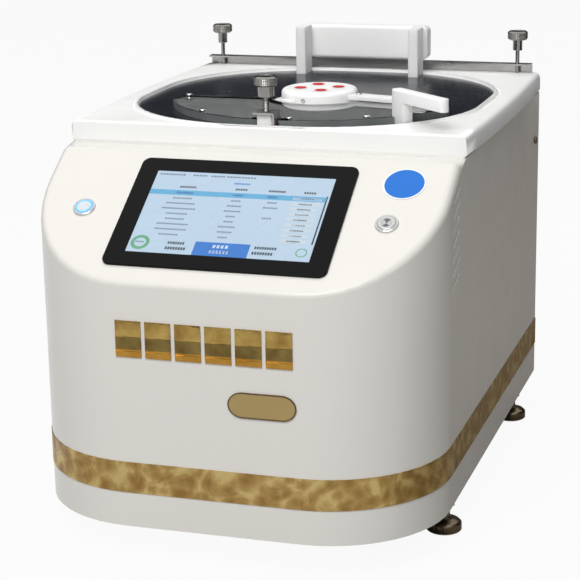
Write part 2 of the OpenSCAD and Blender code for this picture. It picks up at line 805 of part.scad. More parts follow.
// Front grip: a post on the lid with a long bar towards the deck's corner.
module front_grip() color("#f6f5f1") {
    lid_foot() at_tab()
        translate([0, -tab_w / 2, lid_z]) cube([tab_post, tab_w, tab_top - tab_h / 2]);
    at_tab() tab_bar();
}

module tab_bar() {
    translate([0, 0, lid_z + tab_top - tab_h / 2]) rotate([90, 0, 90])
        linear_extrude(tab_len - tab_w / 2) rounded(tab_w, tab_h, 1.5);
    intersection() {
        translate([tab_len - tab_w / 2 - eps, 0, lid_z + tab_top - tab_h])
            cylinder(d = tab_w, h = tab_h);
        translate([0, 0, lid_z + tab_top - tab_h / 2]) rotate([90, 0, 90])
            linear_extrude(tab_len) rounded(tab_w, tab_h, 1.5);
    }
}

module handle_post(side) lid_foot()
    translate([side * post_x, deck_y + post_back + post_d / 2, lid_z])
        slab(post_w, post_d, 1.5, handle_h);

module handle_post_left() color("#f6f5f1") handle_post(-1);
module handle_post_right() color("#f6f5f1") handle_post(1);

module handle_grip() color("#f6f5f1")
    translate([0, deck_y + post_back + post_d + grip_d / 2, lid_z + handle_h - grip_h / 2])
        intersection() {
            rotate([90, 0, 0]) linear_extrude(grip_d, center = true) rounded(grip_w, grip_h, 6);
            rotate([90, 0, 90]) linear_extrude(grip_w, center = true) rounded(grip_d, grip_h, 3);
        }

// ---- front latch ----

module latch_block() color("#f6f5f1") translate([0, latch_y, lid_z]) difference() {
    slab(block_w, block_d, 1.5, block_h);
    translate([0, 0, -1]) cylinder(r = bore_r, h = block_h + 2);
}

// Plate on the block with one leg bent down beside it, clear of the deck's lip.
module latch_bracket() color("#8e9092") translate([0, latch_y, latch_top - sheet_t]) difference() {
    leg = latch_top - sheet_t - deck_top - lip_h - fit_gap;
    union() {
        slab(bracket_w, bracket_w, 1, sheet_t);
        translate([bracket_w / 2 - sheet_t, -bracket_w / 2 + 1, -leg])
            cube([sheet_t, bracket_w - 2, leg + sheet_t / 2]);
    }
    translate([0, 0, -1]) cylinder(r = bore_r, h = sheet_t + 2);
}

module latch_thumbscrew() color("#c9cacb") translate([0, latch_y, latch_top + latch_lift])
    thumbscrew(latch_neck_r, head_r * 0.9, latch_top + latch_lift - deck_z - 1 - latch_travel);

spring_turns = 8;
ring_sides = 6;
rings_per_turn = 16;

// Helical spring swept ring by ring; its first and last turns lie flat.
module coil_spring(r, wire, height) {
    count = spring_turns * rings_per_turn;
    rise = height - 2 * wire;
    points = [for (i = [0:count], j = [0:ring_sides - 1])
        let (a = 360 * i / rings_per_turn, b = 360 * j / ring_sides,
             u = (i / rings_per_turn - 1) / (spring_turns - 2),
             z = wire + rise * max(0, min(1, u)) * 0.94
                 + rise * 0.03 * (i / rings_per_turn < 1 ? i / rings_per_turn
                     : i / rings_per_turn > spring_turns - 1
                     ? 2 - spring_turns + i / rings_per_turn : 1),
             q = r + wire * cos(b))
        [q * cos(a), q * sin(a), z + wire * sin(b)]];
    sides = [for (i = [0:count - 1], j = [0:ring_sides - 1])
        let (k = (j + 1) % ring_sides)
        [i * ring_sides + j, (i + 1) * ring_sides + j, (i + 1) * ring_sides + k, i * ring_sides + k]];
    first = [for (j = [0:ring_sides - 1]) j];
    last = [for (j = [ring_sides - 1:-1:0]) count * ring_sides + j];
    polyhedron(points, concat(sides, [first, last]), convexity = 12);
}

module latch_spring() color("#b5b7b9") translate([0, latch_y, latch_top])
    coil_spring(spring_r - wire_r, wire_r, latch_lift);

// ---- bowl, chuck and spindle ----

module splash_bowl() color("#4c4f4a") translate([0, lid_y, 0]) difference() {
    translate([0, 0, plate_z]) rotate_extrude($fn = 96) polygon([
        [shaft_r + 2, 0], [bowl_r + bowl_t, 0], [bowl_r + bowl_t, rim_z - plate_z],
        [bowl_r + bowl_t + rim_w, rim_z - plate_z], [bowl_r + bowl_t + rim_w, rim_z - plate_z + rim_t],
        [bowl_r, rim_z - plate_z + rim_t], [bowl_r, bowl_t + 6], [bowl_r - 6, bowl_t],
        [shaft_r + 5, bowl_t], [shaft_r + 5, bowl_t + 22], [shaft_r + 2, bowl_t + 22]
    ]);
    translate([0, 0, exhaust_z]) rotate([-90, 0, 0])
        cylinder(r = exhaust_r + run_gap, h = bowl_r + 2 * rim_w);
    translate([-drain_x, 0, drain_z]) rotate([-90, 0, 0])
        cylinder(r = drain_r + run_gap, h = bowl_r + 2 * rim_w);
}

module at_frame_posts()
    for (sx = [-1, 1], sy = [-1, 1]) translate([sx * 95, lid_y + sy * 95, 0]) children();

module motor_plate() color("#a8abad") translate([0, lid_y, motor_top]) difference() {
    slab(220, 220, 18, plate_t);
    translate([0, 0, -1]) cylinder(r = shaft_r + 2, h = plate_t + 2);
}

module frame_posts() color("#a8abad") at_frame_posts() translate([0, 0, base_z + base_t])
    cylinder(r = post_r, h = motor_top - base_z - base_t);

module motor_housing() color("#3c3f43") translate([0, lid_y, motor_top - motor_h]) difference() {
    union() {
        cylinder(r = motor_r, h = motor_h);
        for (i = [0:5])
            translate([0, 0, 18 + i * (motor_h - 42) / 5]) cylinder(r = motor_r + 3, h = 4);
    }
    translate([0, 0, bearing_h + 5]) cylinder(r = motor_r - 6, h = motor_h - 2 * bearing_h - 10);
    translate([0, 0, -1]) cylinder(r = shaft_r + 2, h = motor_h + 2);
    translate([0, 0, -1]) cylinder(r = bearing_r + run_gap, h = bearing_h + 1);
    translate([0, 0, motor_h - bearing_h]) cylinder(r = bearing_r + run_gap, h = bearing_h + 1);
}

module motor_rotor() color("#7a6a5a")
    translate([0, lid_y, motor_top - motor_h + bearing_h + 8])
        tube(motor_r - 9, shaft_r + run_gap, motor_h - 2 * bearing_h - 16);

module spindle_shaft() color("#c9cacb") translate([0, lid_y, 0]) difference() {
    translate([0, 0, motor_top - motor_h - 14])
        cylinder(r = shaft_r, h = chuck_z - chuck_t - motor_top + motor_h + 14);
    translate([0, 0, motor_top - motor_h - 15])
        cylinder(r = 2, h = chuck_z - chuck_t - motor_top + motor_h + 16);
}

module spindle_bearings() color("#9fa2a5")
    for (z = [motor_top - motor_h, motor_top - bearing_h])
        translate([0, lid_y, z]) tube(bearing_r, shaft_r + run_gap, bearing_h);

module vacuum_chuck() color("#26282b") translate([0, lid_y, chuck_z]) difference() {
    union() {
        rotate_extrude() polygon([
            [0, -chuck_t], [chuck_r - 3, -chuck_t], [chuck_r, 3 - chuck_t], [chuck_r, 0], [0, 0]
        ]);
        translate([0, 0, -chuck_t - hub_h]) cylinder(r = hub_r, h = hub_h + eps);
    }
    translate([0, 0, -chuck_t - hub_h - 1]) cylinder(r = shaft_r + run_gap, h = hub_h + 1);
    translate([0, 0, -chuck_t - 1]) cylinder(r = 2, h = chuck_t + 2);
    for (r = [10:8:chuck_r - 12])
        translate([0, 0, -1]) tube(r + 0.8, r - 0.8, 2);
    for (a = [0:90:270])
        rotate([0, 0, a]) translate([0, -0.8, -1]) cube([chuck_r - 12, 1.6, 2]);
    translate([0, 0, -1.6]) tube(chuck_r - 4, chuck_r - 7, 3);
}

module chuck_seal() color("#181818") translate([0, lid_y, chuck_z - 0.75])
    rotate_extrude() translate([chuck_r - 5.5, 0]) circle(r = 0.8, $fn = 24);

module rotary_union() color("#8e9092") translate([0, lid_y, union_z]) difference() {
    translate([0, 0, -12]) cylinder(r = bearing_r + 4, h = motor_top - motor_h - union_z + 12);
    translate([0, 0, 6]) cylinder(r = shaft_r + run_gap, h = 60);
    cylinder(r = 2, h = 20);
    rotate([-90, 0, 0]) cylinder(r = 2, h = 60);
    rotate([-90, 0, 0]) translate([0, 0, bearing_r]) cylinder(r = hose_r + run_gap, h = 60);
}

module vacuum_hose() color("#2f6fb5")
    translate([0, lid_y + bearing_r + run_gap, union_z]) rotate([-90, 0, 0])
        tube(hose_r, hose_r - 1.5, rear_in - 8 - lid_y - bearing_r - run_gap);

// ---- electrics and rear services ----

module power_supply() color("#b4b7ba") translate([-inner_w / 2 + 34, lid_y + 10, base_z + base_t])
    difference() {
        slab(52, 170, 2, 84);
        for (i = [-8:8])
            translate([0, i * 9, 80]) rotate([0, 0, 90]) linear_extrude(6) slot(3, 36);
        translate([0, 0, -1]) slab(46, 160, 2, 3);
    }

module drive_board() color("#2f6b3c") translate([inner_w / 2 - 38, lid_y - 10, base_z + base_t]) {
    for (sx = [-1, 1], sy = [-1, 1])
        translate([sx * 22, sy * 62, 0]) cylinder(r = 3, h = 12);
    translate([0, 0, 12]) slab(54, 140, 2, 2);
    translate([0, 30, 14 - eps]) slab(40, 60, 1, 5);
    for (i = [-4:4])
        translate([i * 4.5 - 1, 0, 19 - 2 * eps]) cube([2, 60, 22]);
}

module power_inlet() color("#1b1c1e") on_rear(-inlet_x, inlet_z) {
    difference() {
        union() {
            slab(50, 28, 4, 3);
            translate([0, 0, -26]) slab(27.4, 20.4, 1.7, 26 + eps);
        }
        translate([0, 0, -14]) slab(24.5, 17, 3, 20);
    }
    for (x = [-7, 0, 7])
        translate([x - 1, -2 - (x == 0 ? 1 : 0), -14 - eps]) cube([2, 4, 13]);
}

rocker_tilt = 9;

module power_switch() color("#1b1c1e") on_rear(-inlet_x, inlet_z + switch_up) difference() {
    union() {
        slab(24, 31, 2, 2.5);
        translate([0, 0, -20]) slab(19.4, 26.4, 1.7, 20 + eps);
    }
    translate([0, 0, -12]) slab(15.4, 22.4, 1, 20);
    translate([0, 0, -1]) rotate([0, 90, 0]) cylinder(r = 1.2 + run_gap, h = 18, center = true);
}

// Rocker lying with its lower half pressed; its pin is the hinge axis.
module switch_rocker() color("#26282b") on_rear(-inlet_x, inlet_z + switch_up)
    translate([0, 0, -1]) rotate([-rocker_tilt, 0, 0]) {
        rotate([90, 0, 90]) linear_extrude(14.6, center = true) polygon([
            [-10, 0.5], [-10, 4], [0, 2.6], [10, 4], [10, 0.5], [3, -4], [-3, -4]
        ]);
        rotate([0, 90, 0]) cylinder(r = 1.2, h = 17.4, center = true);
    }

module fan_frame() color("#1d1e20") translate([fan_x, rear_in - fan_d, fan_z]) rotate([-90, 0, 0]) {
    strut_t = 3;
    linear_extrude(strut_t) {
        fan_outline();
        circle(15);
        for (a = [0:120:240]) rotate(a) translate([10, -1.5]) square([fan_w / 2 - 12, 3]);
    }
    translate([0, 0, strut_t]) linear_extrude(fan_d - strut_t) fan_outline();
    cylinder(r = 2, h = fan_d - 8);
}

module fan_outline() difference() {
    rounded(fan_w, fan_w, 5);
    circle(fan_w / 2 - 3);
    for (sx = [-1, 1], sy = [-1, 1])
        translate([sx * (fan_w / 2 - 5), sy * (fan_w / 2 - 5)]) circle(2);
}

module fan_rotor() color("#2a2b2d") translate([fan_x, rear_in - fan_d / 2, fan_z])
    rotate([-90, 0, 0]) difference() {
        union() {
            translate([0, 0, 3.5 - fan_d / 2]) cylinder(r = 16, h = fan_d - 8);
            for (i = [0:blade_count - 1])
                rotate([0, 0, i * 360 / blade_count]) translate([14, 0, -0.5])
                    rotate([38, 0, 0]) translate([0, -9, -0.7]) cube([fan_w / 2 - 19, 18, 1.4]);
        }
        translate([0, 0, -fan_d]) cylinder(r = 2 + run_gap, h = 2 * fan_d - 10);
    }

// Flanged spigot through the rear panel; reach is how far it runs inwards.
module spigot(r, wall, flange, reach) difference() {
    union() {
        translate([0, 0, -reach]) cylinder(r = r, h = reach + shell_t + rear_reach);
        cylinder(r = flange, h = 3);
    }
    translate([0, 0, -reach - 1]) cylinder(r = r - wall, h = reach + shell_t + rear_reach + 2);
}

module exhaust_port() color("#d9dad8") on_rear(0, exhaust_z)
    spigot(exhaust_r, spigot_t, exhaust_r + 9, back_y - shell_t - lid_y - bowl_r - 1);

module drain_port() color("#d9dad8") on_rear(-drain_x, drain_z)
    spigot(drain_r, spigot_t, drain_r + 5,
           back_y - shell_t - lid_y - sqrt(bowl_r * bowl_r - drain_x * drain_x) - 2);

module vacuum_port() color("#c2a15a") on_rear(0, union_z) difference() {
    union() {
        cylinder(r = hose_r * 2.2, h = 7, $fn = 6);
        translate([0, 0, -rear_t - 8]) cylinder(r = hose_r, h = rear_t + 8 + eps);
        cylinder(r = hose_r, h = 16);
        translate([0, 0, 10]) cylinder(r = hose_r + 0.8, h = 2);
        translate([0, 0, 14]) cylinder(r = hose_r + 0.8, h = 2);
    }
    translate([0, 0, -rear_t - 9]) cylinder(r = hose_r - 1.5, h = 40);
}

housing_shell();
gold_band();
badge_plate();
round_marker();
base_plate();
rear_panel();
panel_screws();
foot_front_left();
foot_front_right();
foot_rear_left();
foot_rear_right();
touch_bezel();
lcd_panel();
display_module();
left_button_body();
left_button_cap();
right_button_body();
right_button_cap();
deck_plate();
rear_rail();
rear_left_thumbscrew();
rear_right_thumbscrew();
lid_plate();
lid_window();
window_screws();
port_collar();
port_turret();
port_plugs();
turret_arm();
arm_pivot_screw();
turret_stop();
front_grip();
handle_post_left();
handle_post_right();
handle_grip();
latch_block();
latch_bracket();
latch_thumbscrew();
latch_spring();
splash_bowl();
motor_plate();
frame_posts();
motor_housing();
motor_rotor();
spindle_shaft();
spindle_bearings();
vacuum_chuck();
chuck_seal();
rotary_union();
vacuum_hose();
power_supply();
drive_board();
power_inlet();
power_switch();
switch_rocker();
fan_frame();
fan_rotor();
exhaust_port();
drain_port();
vacuum_port();
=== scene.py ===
"""Dresses the bench spin coater: finishes for every solid, and the fine pieces on them."""

import json
import math

import bpy
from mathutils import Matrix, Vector


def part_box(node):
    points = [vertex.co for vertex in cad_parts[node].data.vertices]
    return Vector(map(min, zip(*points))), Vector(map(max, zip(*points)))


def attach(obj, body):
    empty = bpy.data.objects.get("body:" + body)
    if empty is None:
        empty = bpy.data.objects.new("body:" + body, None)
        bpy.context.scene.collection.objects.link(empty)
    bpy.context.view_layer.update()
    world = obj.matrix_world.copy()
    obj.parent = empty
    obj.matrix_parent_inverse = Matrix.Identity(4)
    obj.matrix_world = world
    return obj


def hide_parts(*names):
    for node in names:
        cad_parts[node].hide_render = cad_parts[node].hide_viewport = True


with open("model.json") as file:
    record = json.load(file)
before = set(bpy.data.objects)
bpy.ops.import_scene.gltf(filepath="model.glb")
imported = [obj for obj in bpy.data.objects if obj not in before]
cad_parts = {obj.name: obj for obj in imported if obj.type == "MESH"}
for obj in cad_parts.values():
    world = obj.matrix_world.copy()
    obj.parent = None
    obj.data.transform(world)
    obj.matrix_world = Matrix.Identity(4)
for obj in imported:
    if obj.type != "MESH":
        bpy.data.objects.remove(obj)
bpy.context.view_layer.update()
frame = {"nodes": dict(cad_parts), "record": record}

bl_info = {
    "name": "Bench Spin Coater",
    "version": (1, 0, 0),
    "blender": (4, 5, 0),
    "location": "View3D > Sidebar > Spin Coater",
    "description": "Builds the finishes and fine pieces of a bench spin coater",
    "category": "Object",
}

BODY_OF = {n: b for b, names in frame["record"]["behaviour"]["bodies"].items() for n in names}
SLOPE = math.radians(32.2)
BEZEL_LOW, BEZEL_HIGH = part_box("touch_bezel")
PUCK_LOW, PUCK_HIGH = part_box("port_turret")
MM = 0.001
ORIGIN = (0, 0, 0)
# Places on the sloping panel, down from its upper edge.
BUTTON_DOWN = 72 * MM
MARKER_DOWN = 26.5 * MM
BEZEL_DOWN = 72.6 * MM
BEZEL_STANDS = 1.1 * MM
# Push button: radii of its flange, opening, barrel, nut and cap.
FLANGE_R, BUTTON_OPENING, BARREL_R, NUT_R, CAP_R = (
    v * MM for v in (9.5, 8.2, 8.0, 11.4, 7.3))
# Thumbscrew: height and chamfer of the head, radius of the pin, overlap of two parts.
HEAD_HEIGHT, HEAD_CHAMFER, PIN_R, OVERLAP = (v * MM for v in (8.5, 1.1, 2.0, 0.2))
# Port cap: its arm's direction and the screw on it, and the direction of the grub screw.
ARM_TURN, ARM_SCREW_OUT, GRUB_TURN = -14.7, 41 * MM, 261
# The left part of the window is drawn in towards this line, by this share.
WINDOW_LINE, WINDOW_SHARE = -20 * MM, 0.924
BADGE_SHARE = 0.88
HANDLE_DROP = 4 * MM
# Depth and height of the screw in each side.
SIDE_SCREW = (212.8 * MM, 272.1 * MM)
# Vent slots: how many, their pitch, their middle in depth, the height of the top one.
VENT_COUNT = 7
VENT_PITCH = 11.8 * MM
VENT_Y = -140.9 * MM
VENT_TOP = 293.0 * MM
VENT_TURN = 24
VENT_LENGTH = 25.5 * MM
VENT_WIDTH = 2.4 * MM
# The same slots as the solid has them, which stand steep and a little higher.
STEEP_TOP = 293.8 * MM
STEEP_TURN = 114
# Screen, and its top left corner from the bezel's middle.
SCREEN_W, SCREEN_H = 154 * MM, 93 * MM
SCREEN_TOP = 46.3 * MM
SCREEN_FACE = 2.0 * MM
LETTER = 0.0135
# Studio, in metres: lamps, what they aim at, floor, and how bright the floor is seen.
KEY_PLACE, TOP_PLACE, LAMP_AIM = (0.05, -2.25, 2.6), (-0.2, 0.3, 2.7), (0, -0.03, 0.2)
FLOOR_SIZE, FLOOR_SHINE = 60, 0.94
# Camera: place in metres, turn in degrees, focal length in millimetres.
CAMERA_PLACE = (0.483154, -1.55266, 0.61507)
CAMERA_TURN = (74.5335, 0.9655, 17.4333)
CAMERA_LENS = 114.0734
# Trim bars on the front: left, right, bottom, top and the gap between two.
BARS = tuple(v * MM for v in (-77, 71, 174.5, 204.5, 3.4))
BAR_COUNT = 6


# ---- sizes and colours a user may change ----


def colour_setting(name, description, default):
    """A colour that a user can change."""
    return bpy.props.FloatVectorProperty(
        name=name, description=description, default=default, size=3,
        subtype="COLOR", min=0, max=1)


def length_setting(name, description, default):
    """A length that a user can change."""
    return bpy.props.FloatProperty(
        name=name, description=description, default=default, min=0,
        subtype="DISTANCE", unit="LENGTH")


def level_setting(name, description, default):
    """A power or strength that a user can change."""
    return bpy.props.FloatProperty(name=name, description=description, default=default, min=0)


class CoaterColours(bpy.types.PropertyGroup):
    paint: colour_setting("Paint", "Powder coat of the housing", (0.70, 0.682, 0.64))
    plastic: colour_setting("Plastic", "White plastic of deck and grips", (0.88, 0.88, 0.87))
    gold_bright: colour_setting("Bright gold", "Lightest flakes of the leaf", (0.52, 0.385, 0.155))
    gold_middle: colour_setting("Gold", "Middle tone of the leaf", (0.36, 0.235, 0.078))
    gold_dark: colour_setting("Dark gold", "Darkest flakes of the leaf", (0.26, 0.15, 0.043))
    lid: colour_setting("Lid", "Dark anodised lid plate", (0.010, 0.012, 0.017))
    marker: colour_setting("Marker", "Round marker on the panel", (0.018, 0.16, 0.58))
    plug: colour_setting("Plug", "Plugs in the port cap", (0.74, 0.014, 0.012))
    screen: colour_setting("Screen", "Ground of the lit screen", (0.27, 0.345, 0.42))
    glow: colour_setting("Button glow", "Lit ring of the left button", (0.10, 0.36, 0.95))


class CoaterSizes(bpy.types.PropertyGroup):
    knurl_depth: length_setting("Knurl depth", "Height of the knurl's points", 0.45 * MM)
    knurl_rows: bpy.props.IntProperty(
        name="Knurl rows", description="Rows of points on a head", default=5, min=2, max=9)
    knurl_teeth: bpy.props.IntProperty(
        name="Knurl teeth", description="Points round a head", default=40, min=16, max=64)
    bar_thickness: length_setting("Bar thickness", "How far the trim bars stand out", 1.1 * MM)
    mark_thickness: length_setting("Mark thickness", "Thickness of a screen mark", 0.08 * MM)
    edge_round: length_setting("Edge round", "Rounding of the plastic grips", 0.6 * MM)
    badge_border: length_setting("Badge border", "Dark border of the badge", 1.0 * MM)


class CoaterLight(bpy.types.PropertyGroup):
    key: level_setting("Key light", "Power of the large front lamp in watts", 92.0)
    top: level_setting("Top light", "Power of the overhead lamp in watts", 25.0)
    ambient: level_setting("Ambient", "Strength of the light from all round", 0.24)


# ---- modelling helpers ----


def only(piece):
    """Leaves object mode and selects one piece alone."""
    active = bpy.context.view_layer.objects.active
    if active and active.mode != "OBJECT":
        bpy.ops.object.mode_set(mode="OBJECT")
    bpy.ops.object.select_all(action="DESELECT")
    if piece:
        piece.select_set(True)
        bpy.context.view_layer.objects.active = piece


def edit(piece, kind="FACE", action="DESELECT"):
    """Opens a piece in edit mode with nothing or, at SELECT, all of it selected."""
    only(piece)
    bpy.ops.object.mode_set(mode="EDIT")
    bpy.ops.mesh.select_mode(type=kind)
    bpy.ops.mesh.select_all(action=action)


def pick_faces(piece, test):
    """Selects the faces whose centre and normal pass the test; leaves edit mode open."""
    edit(piece)
    bpy.ops.object.mode_set(mode="OBJECT")
    for face in piece.data.polygons:
        face.select = bool(test(face.center, face.normal))
    bpy.ops.object.mode_set(mode="EDIT")


def pick_edges(piece, test):
    """Selects the edges whose two ends pass the test; leaves edit mode open."""
    edit(piece, "EDGE")
    bpy.ops.object.mode_set(mode="OBJECT")
    points = piece.data.vertices
    for edge in piece.data.edges:
        edge.select = bool(test(points[edge.vertices[0]].co, points[edge.vertices[1]].co))
    bpy.ops.object.mode_set(mode="EDIT")


def pick_points(piece, test):
    """Selects the points whose place passes the test; leaves edit mode open."""
    edit(piece, "VERT")
    bpy.ops.object.mode_set(mode="OBJECT")
    for point in piece.data.vertices:
        point.select = bool(test(point.co))
    bpy.ops.object.mode_set(mode="EDIT")


def push(z=0.0, y=0.0):
    """Extrudes the selected faces by this much."""
    bpy.ops.mesh.extrude_region_move(TRANSFORM_OT_translate={"value": (0, y, z)})


def recess(piece, margin, depth, test):
    """Sinks the faces that pass the test, within a margin."""
    pick_faces(piece, test)
    bpy.ops.mesh.inset(thickness=margin)
    push(-depth)
    close_edit()


def merge_flat(piece, angle=1):
    """Merges the faces that lie in one plane, and selects all that is left."""
    edit(piece, action="SELECT")
    bpy.ops.mesh.dissolve_limited(angle_limit=math.radians(angle))


def close_edit():
    """Leaves edit mode."""
    bpy.ops.object.mode_set(mode="OBJECT")


def modifier(piece, kind, **values):
    """Adds a modifier with these values and applies it."""
    only(piece)
    step = piece.modifiers.new(kind.title(), kind)
    for key, value in values.items():
        setattr(step, key, value)
    bpy.ops.object.modifier_apply(modifier=step.name)


def bevel(piece, width, segments=2, angle=40):
    modifier(piece, "BEVEL", width=width, segments=segments, limit_method="ANGLE",
             angle_limit=math.radians(angle), harden_normals=False)


def join(pieces, name):
    """Joins pieces into the first and names it."""
    only(None)
    for piece in pieces:
        piece.select_set(True)
    bpy.context.view_layer.objects.active = pieces[0]
    if len(pieces) > 1:
        bpy.ops.object.join()
    pieces[0].name = name
    pieces[0].data.name = name
    return pieces[0]


def settle(piece):
    """Applies a piece's place, turn and size, so that its object sits at the origin."""
    only(piece)
    bpy.ops.object.transform_apply(location=True, rotation=True, scale=True)


def tidy(piece, outward=True):
    """Merges doubles and turns the faces outwards."""
    edit(piece, action="SELECT")
    bpy.ops.mesh.remove_doubles(threshold=0.002 * MM)
    if outward:
        bpy.ops.mesh.normals_make_consistent(inside=False)
    close_edit()


def deliver(piece, node, material, angle=30, stands_for=False):
    """Gives a finished piece its shading, material and body."""
    settle(piece)
    bpy.ops.object.shade_smooth_by_angle(angle=math.radians(angle))
    if material:
        piece.data.materials.clear()
        piece.data.materials.append(finish(material))
    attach(piece, BODY_OF[node])
    if stands_for:
        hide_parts(node)
    return piece


def dress(node, material, angle=35, rounding=0.0, flatten=True):
    """A smooth copy of a solid, which stands for it."""
    only(None)
    piece = bpy.data.objects.new(node + "_finish", frame["nodes"][node].data.copy())
    bpy.context.scene.collection.objects.link(piece)
    tidy(piece, outward=False)
    if rounding:
        merge_flat(piece)
        close_edit()
        bevel(piece, rounding, angle=50)
    deliver(piece, node, material, angle, stands_for=True)
    if flatten:
        modifier(piece, "WEIGHTED_NORMAL", keep_sharp=True, weight=90)
    return piece


def paint_faces(piece, material, test):
    """Gives the faces that pass the test a second material."""
    piece.data.materials.append(finish(material))
    pick_faces(piece, test)
    piece.active_material_index = len(piece.data.materials) - 1
    bpy.ops.object.material_slot_assign()
    close_edit()


def cylinder(radius, low, high, sides=48):
    """An upright cylinder between two heights, to be shaped further."""
    only(None)
    bpy.ops.mesh.primitive_cylinder_add(
        vertices=sides, radius=radius, depth=high - low, location=(0, 0, (low + high) / 2))
    piece = bpy.context.object
    settle(piece)
    return piece


def block(low, high):
    """A box between two corners, to be shaped further."""
    only(None)
    centre = [(a + b) / 2 for a, b in zip(low, high)]
    bpy.ops.mesh.primitive_cube_add(
        size=1, location=centre, scale=[b - a for a, b in zip(low, high)])
    piece = bpy.context.object
    settle(piece)
    return piece


def on_slope(piece, x, down):
    """Lays a piece made flat about the origin on the sloping panel."""
    ledge_y, top_z = PANEL_TOP
    piece.rotation_euler = (SLOPE, 0, 0)
    piece.location = (x, ledge_y - down * math.cos(SLOPE), top_z - down * math.sin(SLOPE))
    settle(piece)


def islands(node, reach=12 * MM):
    """Lowest and highest corner of each separate small solid of a node."""
    groups = []
    for vertex in frame["nodes"][node].data.vertices:
        for group in groups:
            if (vertex.co - group[0]).length < reach:
                group.append(vertex.co.copy())
                break
        else:
            groups.append([vertex.co.copy()])
    return [(Vector(map(min, *g)), Vector(map(max, *g))) for g in groups if len(g) > 3]


PANEL_TOP = (
    (BEZEL_LOW.y + BEZEL_HIGH.y) / 2 + BEZEL_DOWN * math.cos(SLOPE)
    + BEZEL_STANDS * math.sin(SLOPE),
    (BEZEL_LOW.z + BEZEL_HIGH.z) / 2 + BEZEL_DOWN * math.sin(SLOPE)
    - BEZEL_STANDS * math.cos(SLOPE),
)


# ---- shared effects ----


def add(tree, kind, values=None, **settings):
    """Adds a shader node with these settings and socket values."""
    node = tree.nodes.new("ShaderNode" + kind)
    for key, value in settings.items():
        setattr(node, key, value)
    for key, value in (values or {}).items():
        node.inputs[key].default_value = value
    return node


def wire(tree, *pairs):
    """Links each output to the input beside it."""
    for source, target in pairs:
        tree.links.new(source, target)


def new_group(name, inputs, outputs):
    """An empty shader node group with named sockets."""
    group = bpy.data.node_groups.new(name, "ShaderNodeTree")
    for label, kind, default in inputs:
        socket = group.interface.new_socket(
            label, in_out="INPUT", socket_type="NodeSocket" + kind)
        if default is not None:
            socket.default_value = default
    for label, kind in outputs:
        group.interface.new_socket(label, in_out="OUTPUT", socket_type="NodeSocket" + kind)
    start, end = group.nodes.new("NodeGroupInput"), group.nodes.new("NodeGroupOutput")
    return group, start.outputs, end.inputs


def spread(tree, low, high):
    """A range that is drawn out to run from nought to one."""
    return add(tree, "MapRange", {"From Min": low, "From Max": high})


def surface_grain():
    """Fine unevenness, drawn out along an axis where it is brushed or turned."""
    group, start, end = new_group(
        "Surface Grain",
        [("Vector", "Vector", None), ("Scale", "Float", 900.0),
         ("Stretch", "Vector", (1.0, 1.0, 1.0))],
        [("Height", "Float")])
    stretch = add(group, "VectorMath", operation="MULTIPLY")
    noise = add(group, "TexNoise", {"Detail": 3})
    wire(group, (start["Vector"], stretch.inputs[0]), (start["Stretch"], stretch.inputs[1]),
         (stretch.outputs[0], noise.inputs["Vector"]), (start["Scale"], noise.inputs["Scale"]),
         (noise.outputs["Fac"], end["Height"]))
    return group


def colour_drift():
    """Slow change of tone over a surface."""
    group, start, end = new_group(
        "Colour Drift",
        [("Vector", "Vector", None), ("Colour", "Color", None), ("Second Colour", "Color", None),
         ("Scale", "Float", 8.0), ("Amount", "Float", 0.5)],
        [("Colour", "Color")])
    noise = add(group, "TexNoise", {"Detail": 5})
    tone = spread(group, 0.3, 0.7)
    blend = add(group, "Mix", data_type="RGBA")
    wire(group, (start["Vector"], noise.inputs["Vector"]), (start["Scale"], noise.inputs["Scale"]),
         (noise.outputs["Fac"], tone.inputs["Value"]), (start["Amount"], tone.inputs["To Max"]),
         (tone.outputs[0], blend.inputs[0]), (start["Colour"], blend.inputs[6]),
         (start["Second Colour"], blend.inputs[7]), (blend.outputs[2], end["Colour"]))
    return group


def handling_marks():
    """Uneven gloss from wiping and handling."""
    group, start, end = new_group(
        "Handling Marks",
        [("Vector", "Vector", None), ("Scale", "Float", 20.0), ("Smooth", "Float", 0.2),
         ("Rough", "Float", 0.3)],
        [("Roughness", "Float")])
    noise = add(group, "TexNoise", {"Detail": 6, "Distortion": 0.6})
    gloss = spread(group, 0.35, 0.65)
    wire(group, (start["Vector"], noise.inputs["Vector"]), (start["Scale"], noise.inputs["Scale"]),
         (noise.outputs["Fac"], gloss.inputs["Value"]), (start["Smooth"], gloss.inputs["To Min"]),
         (start["Rough"], gloss.inputs["To Max"]), (gloss.outputs[0], end["Roughness"]))
    return group


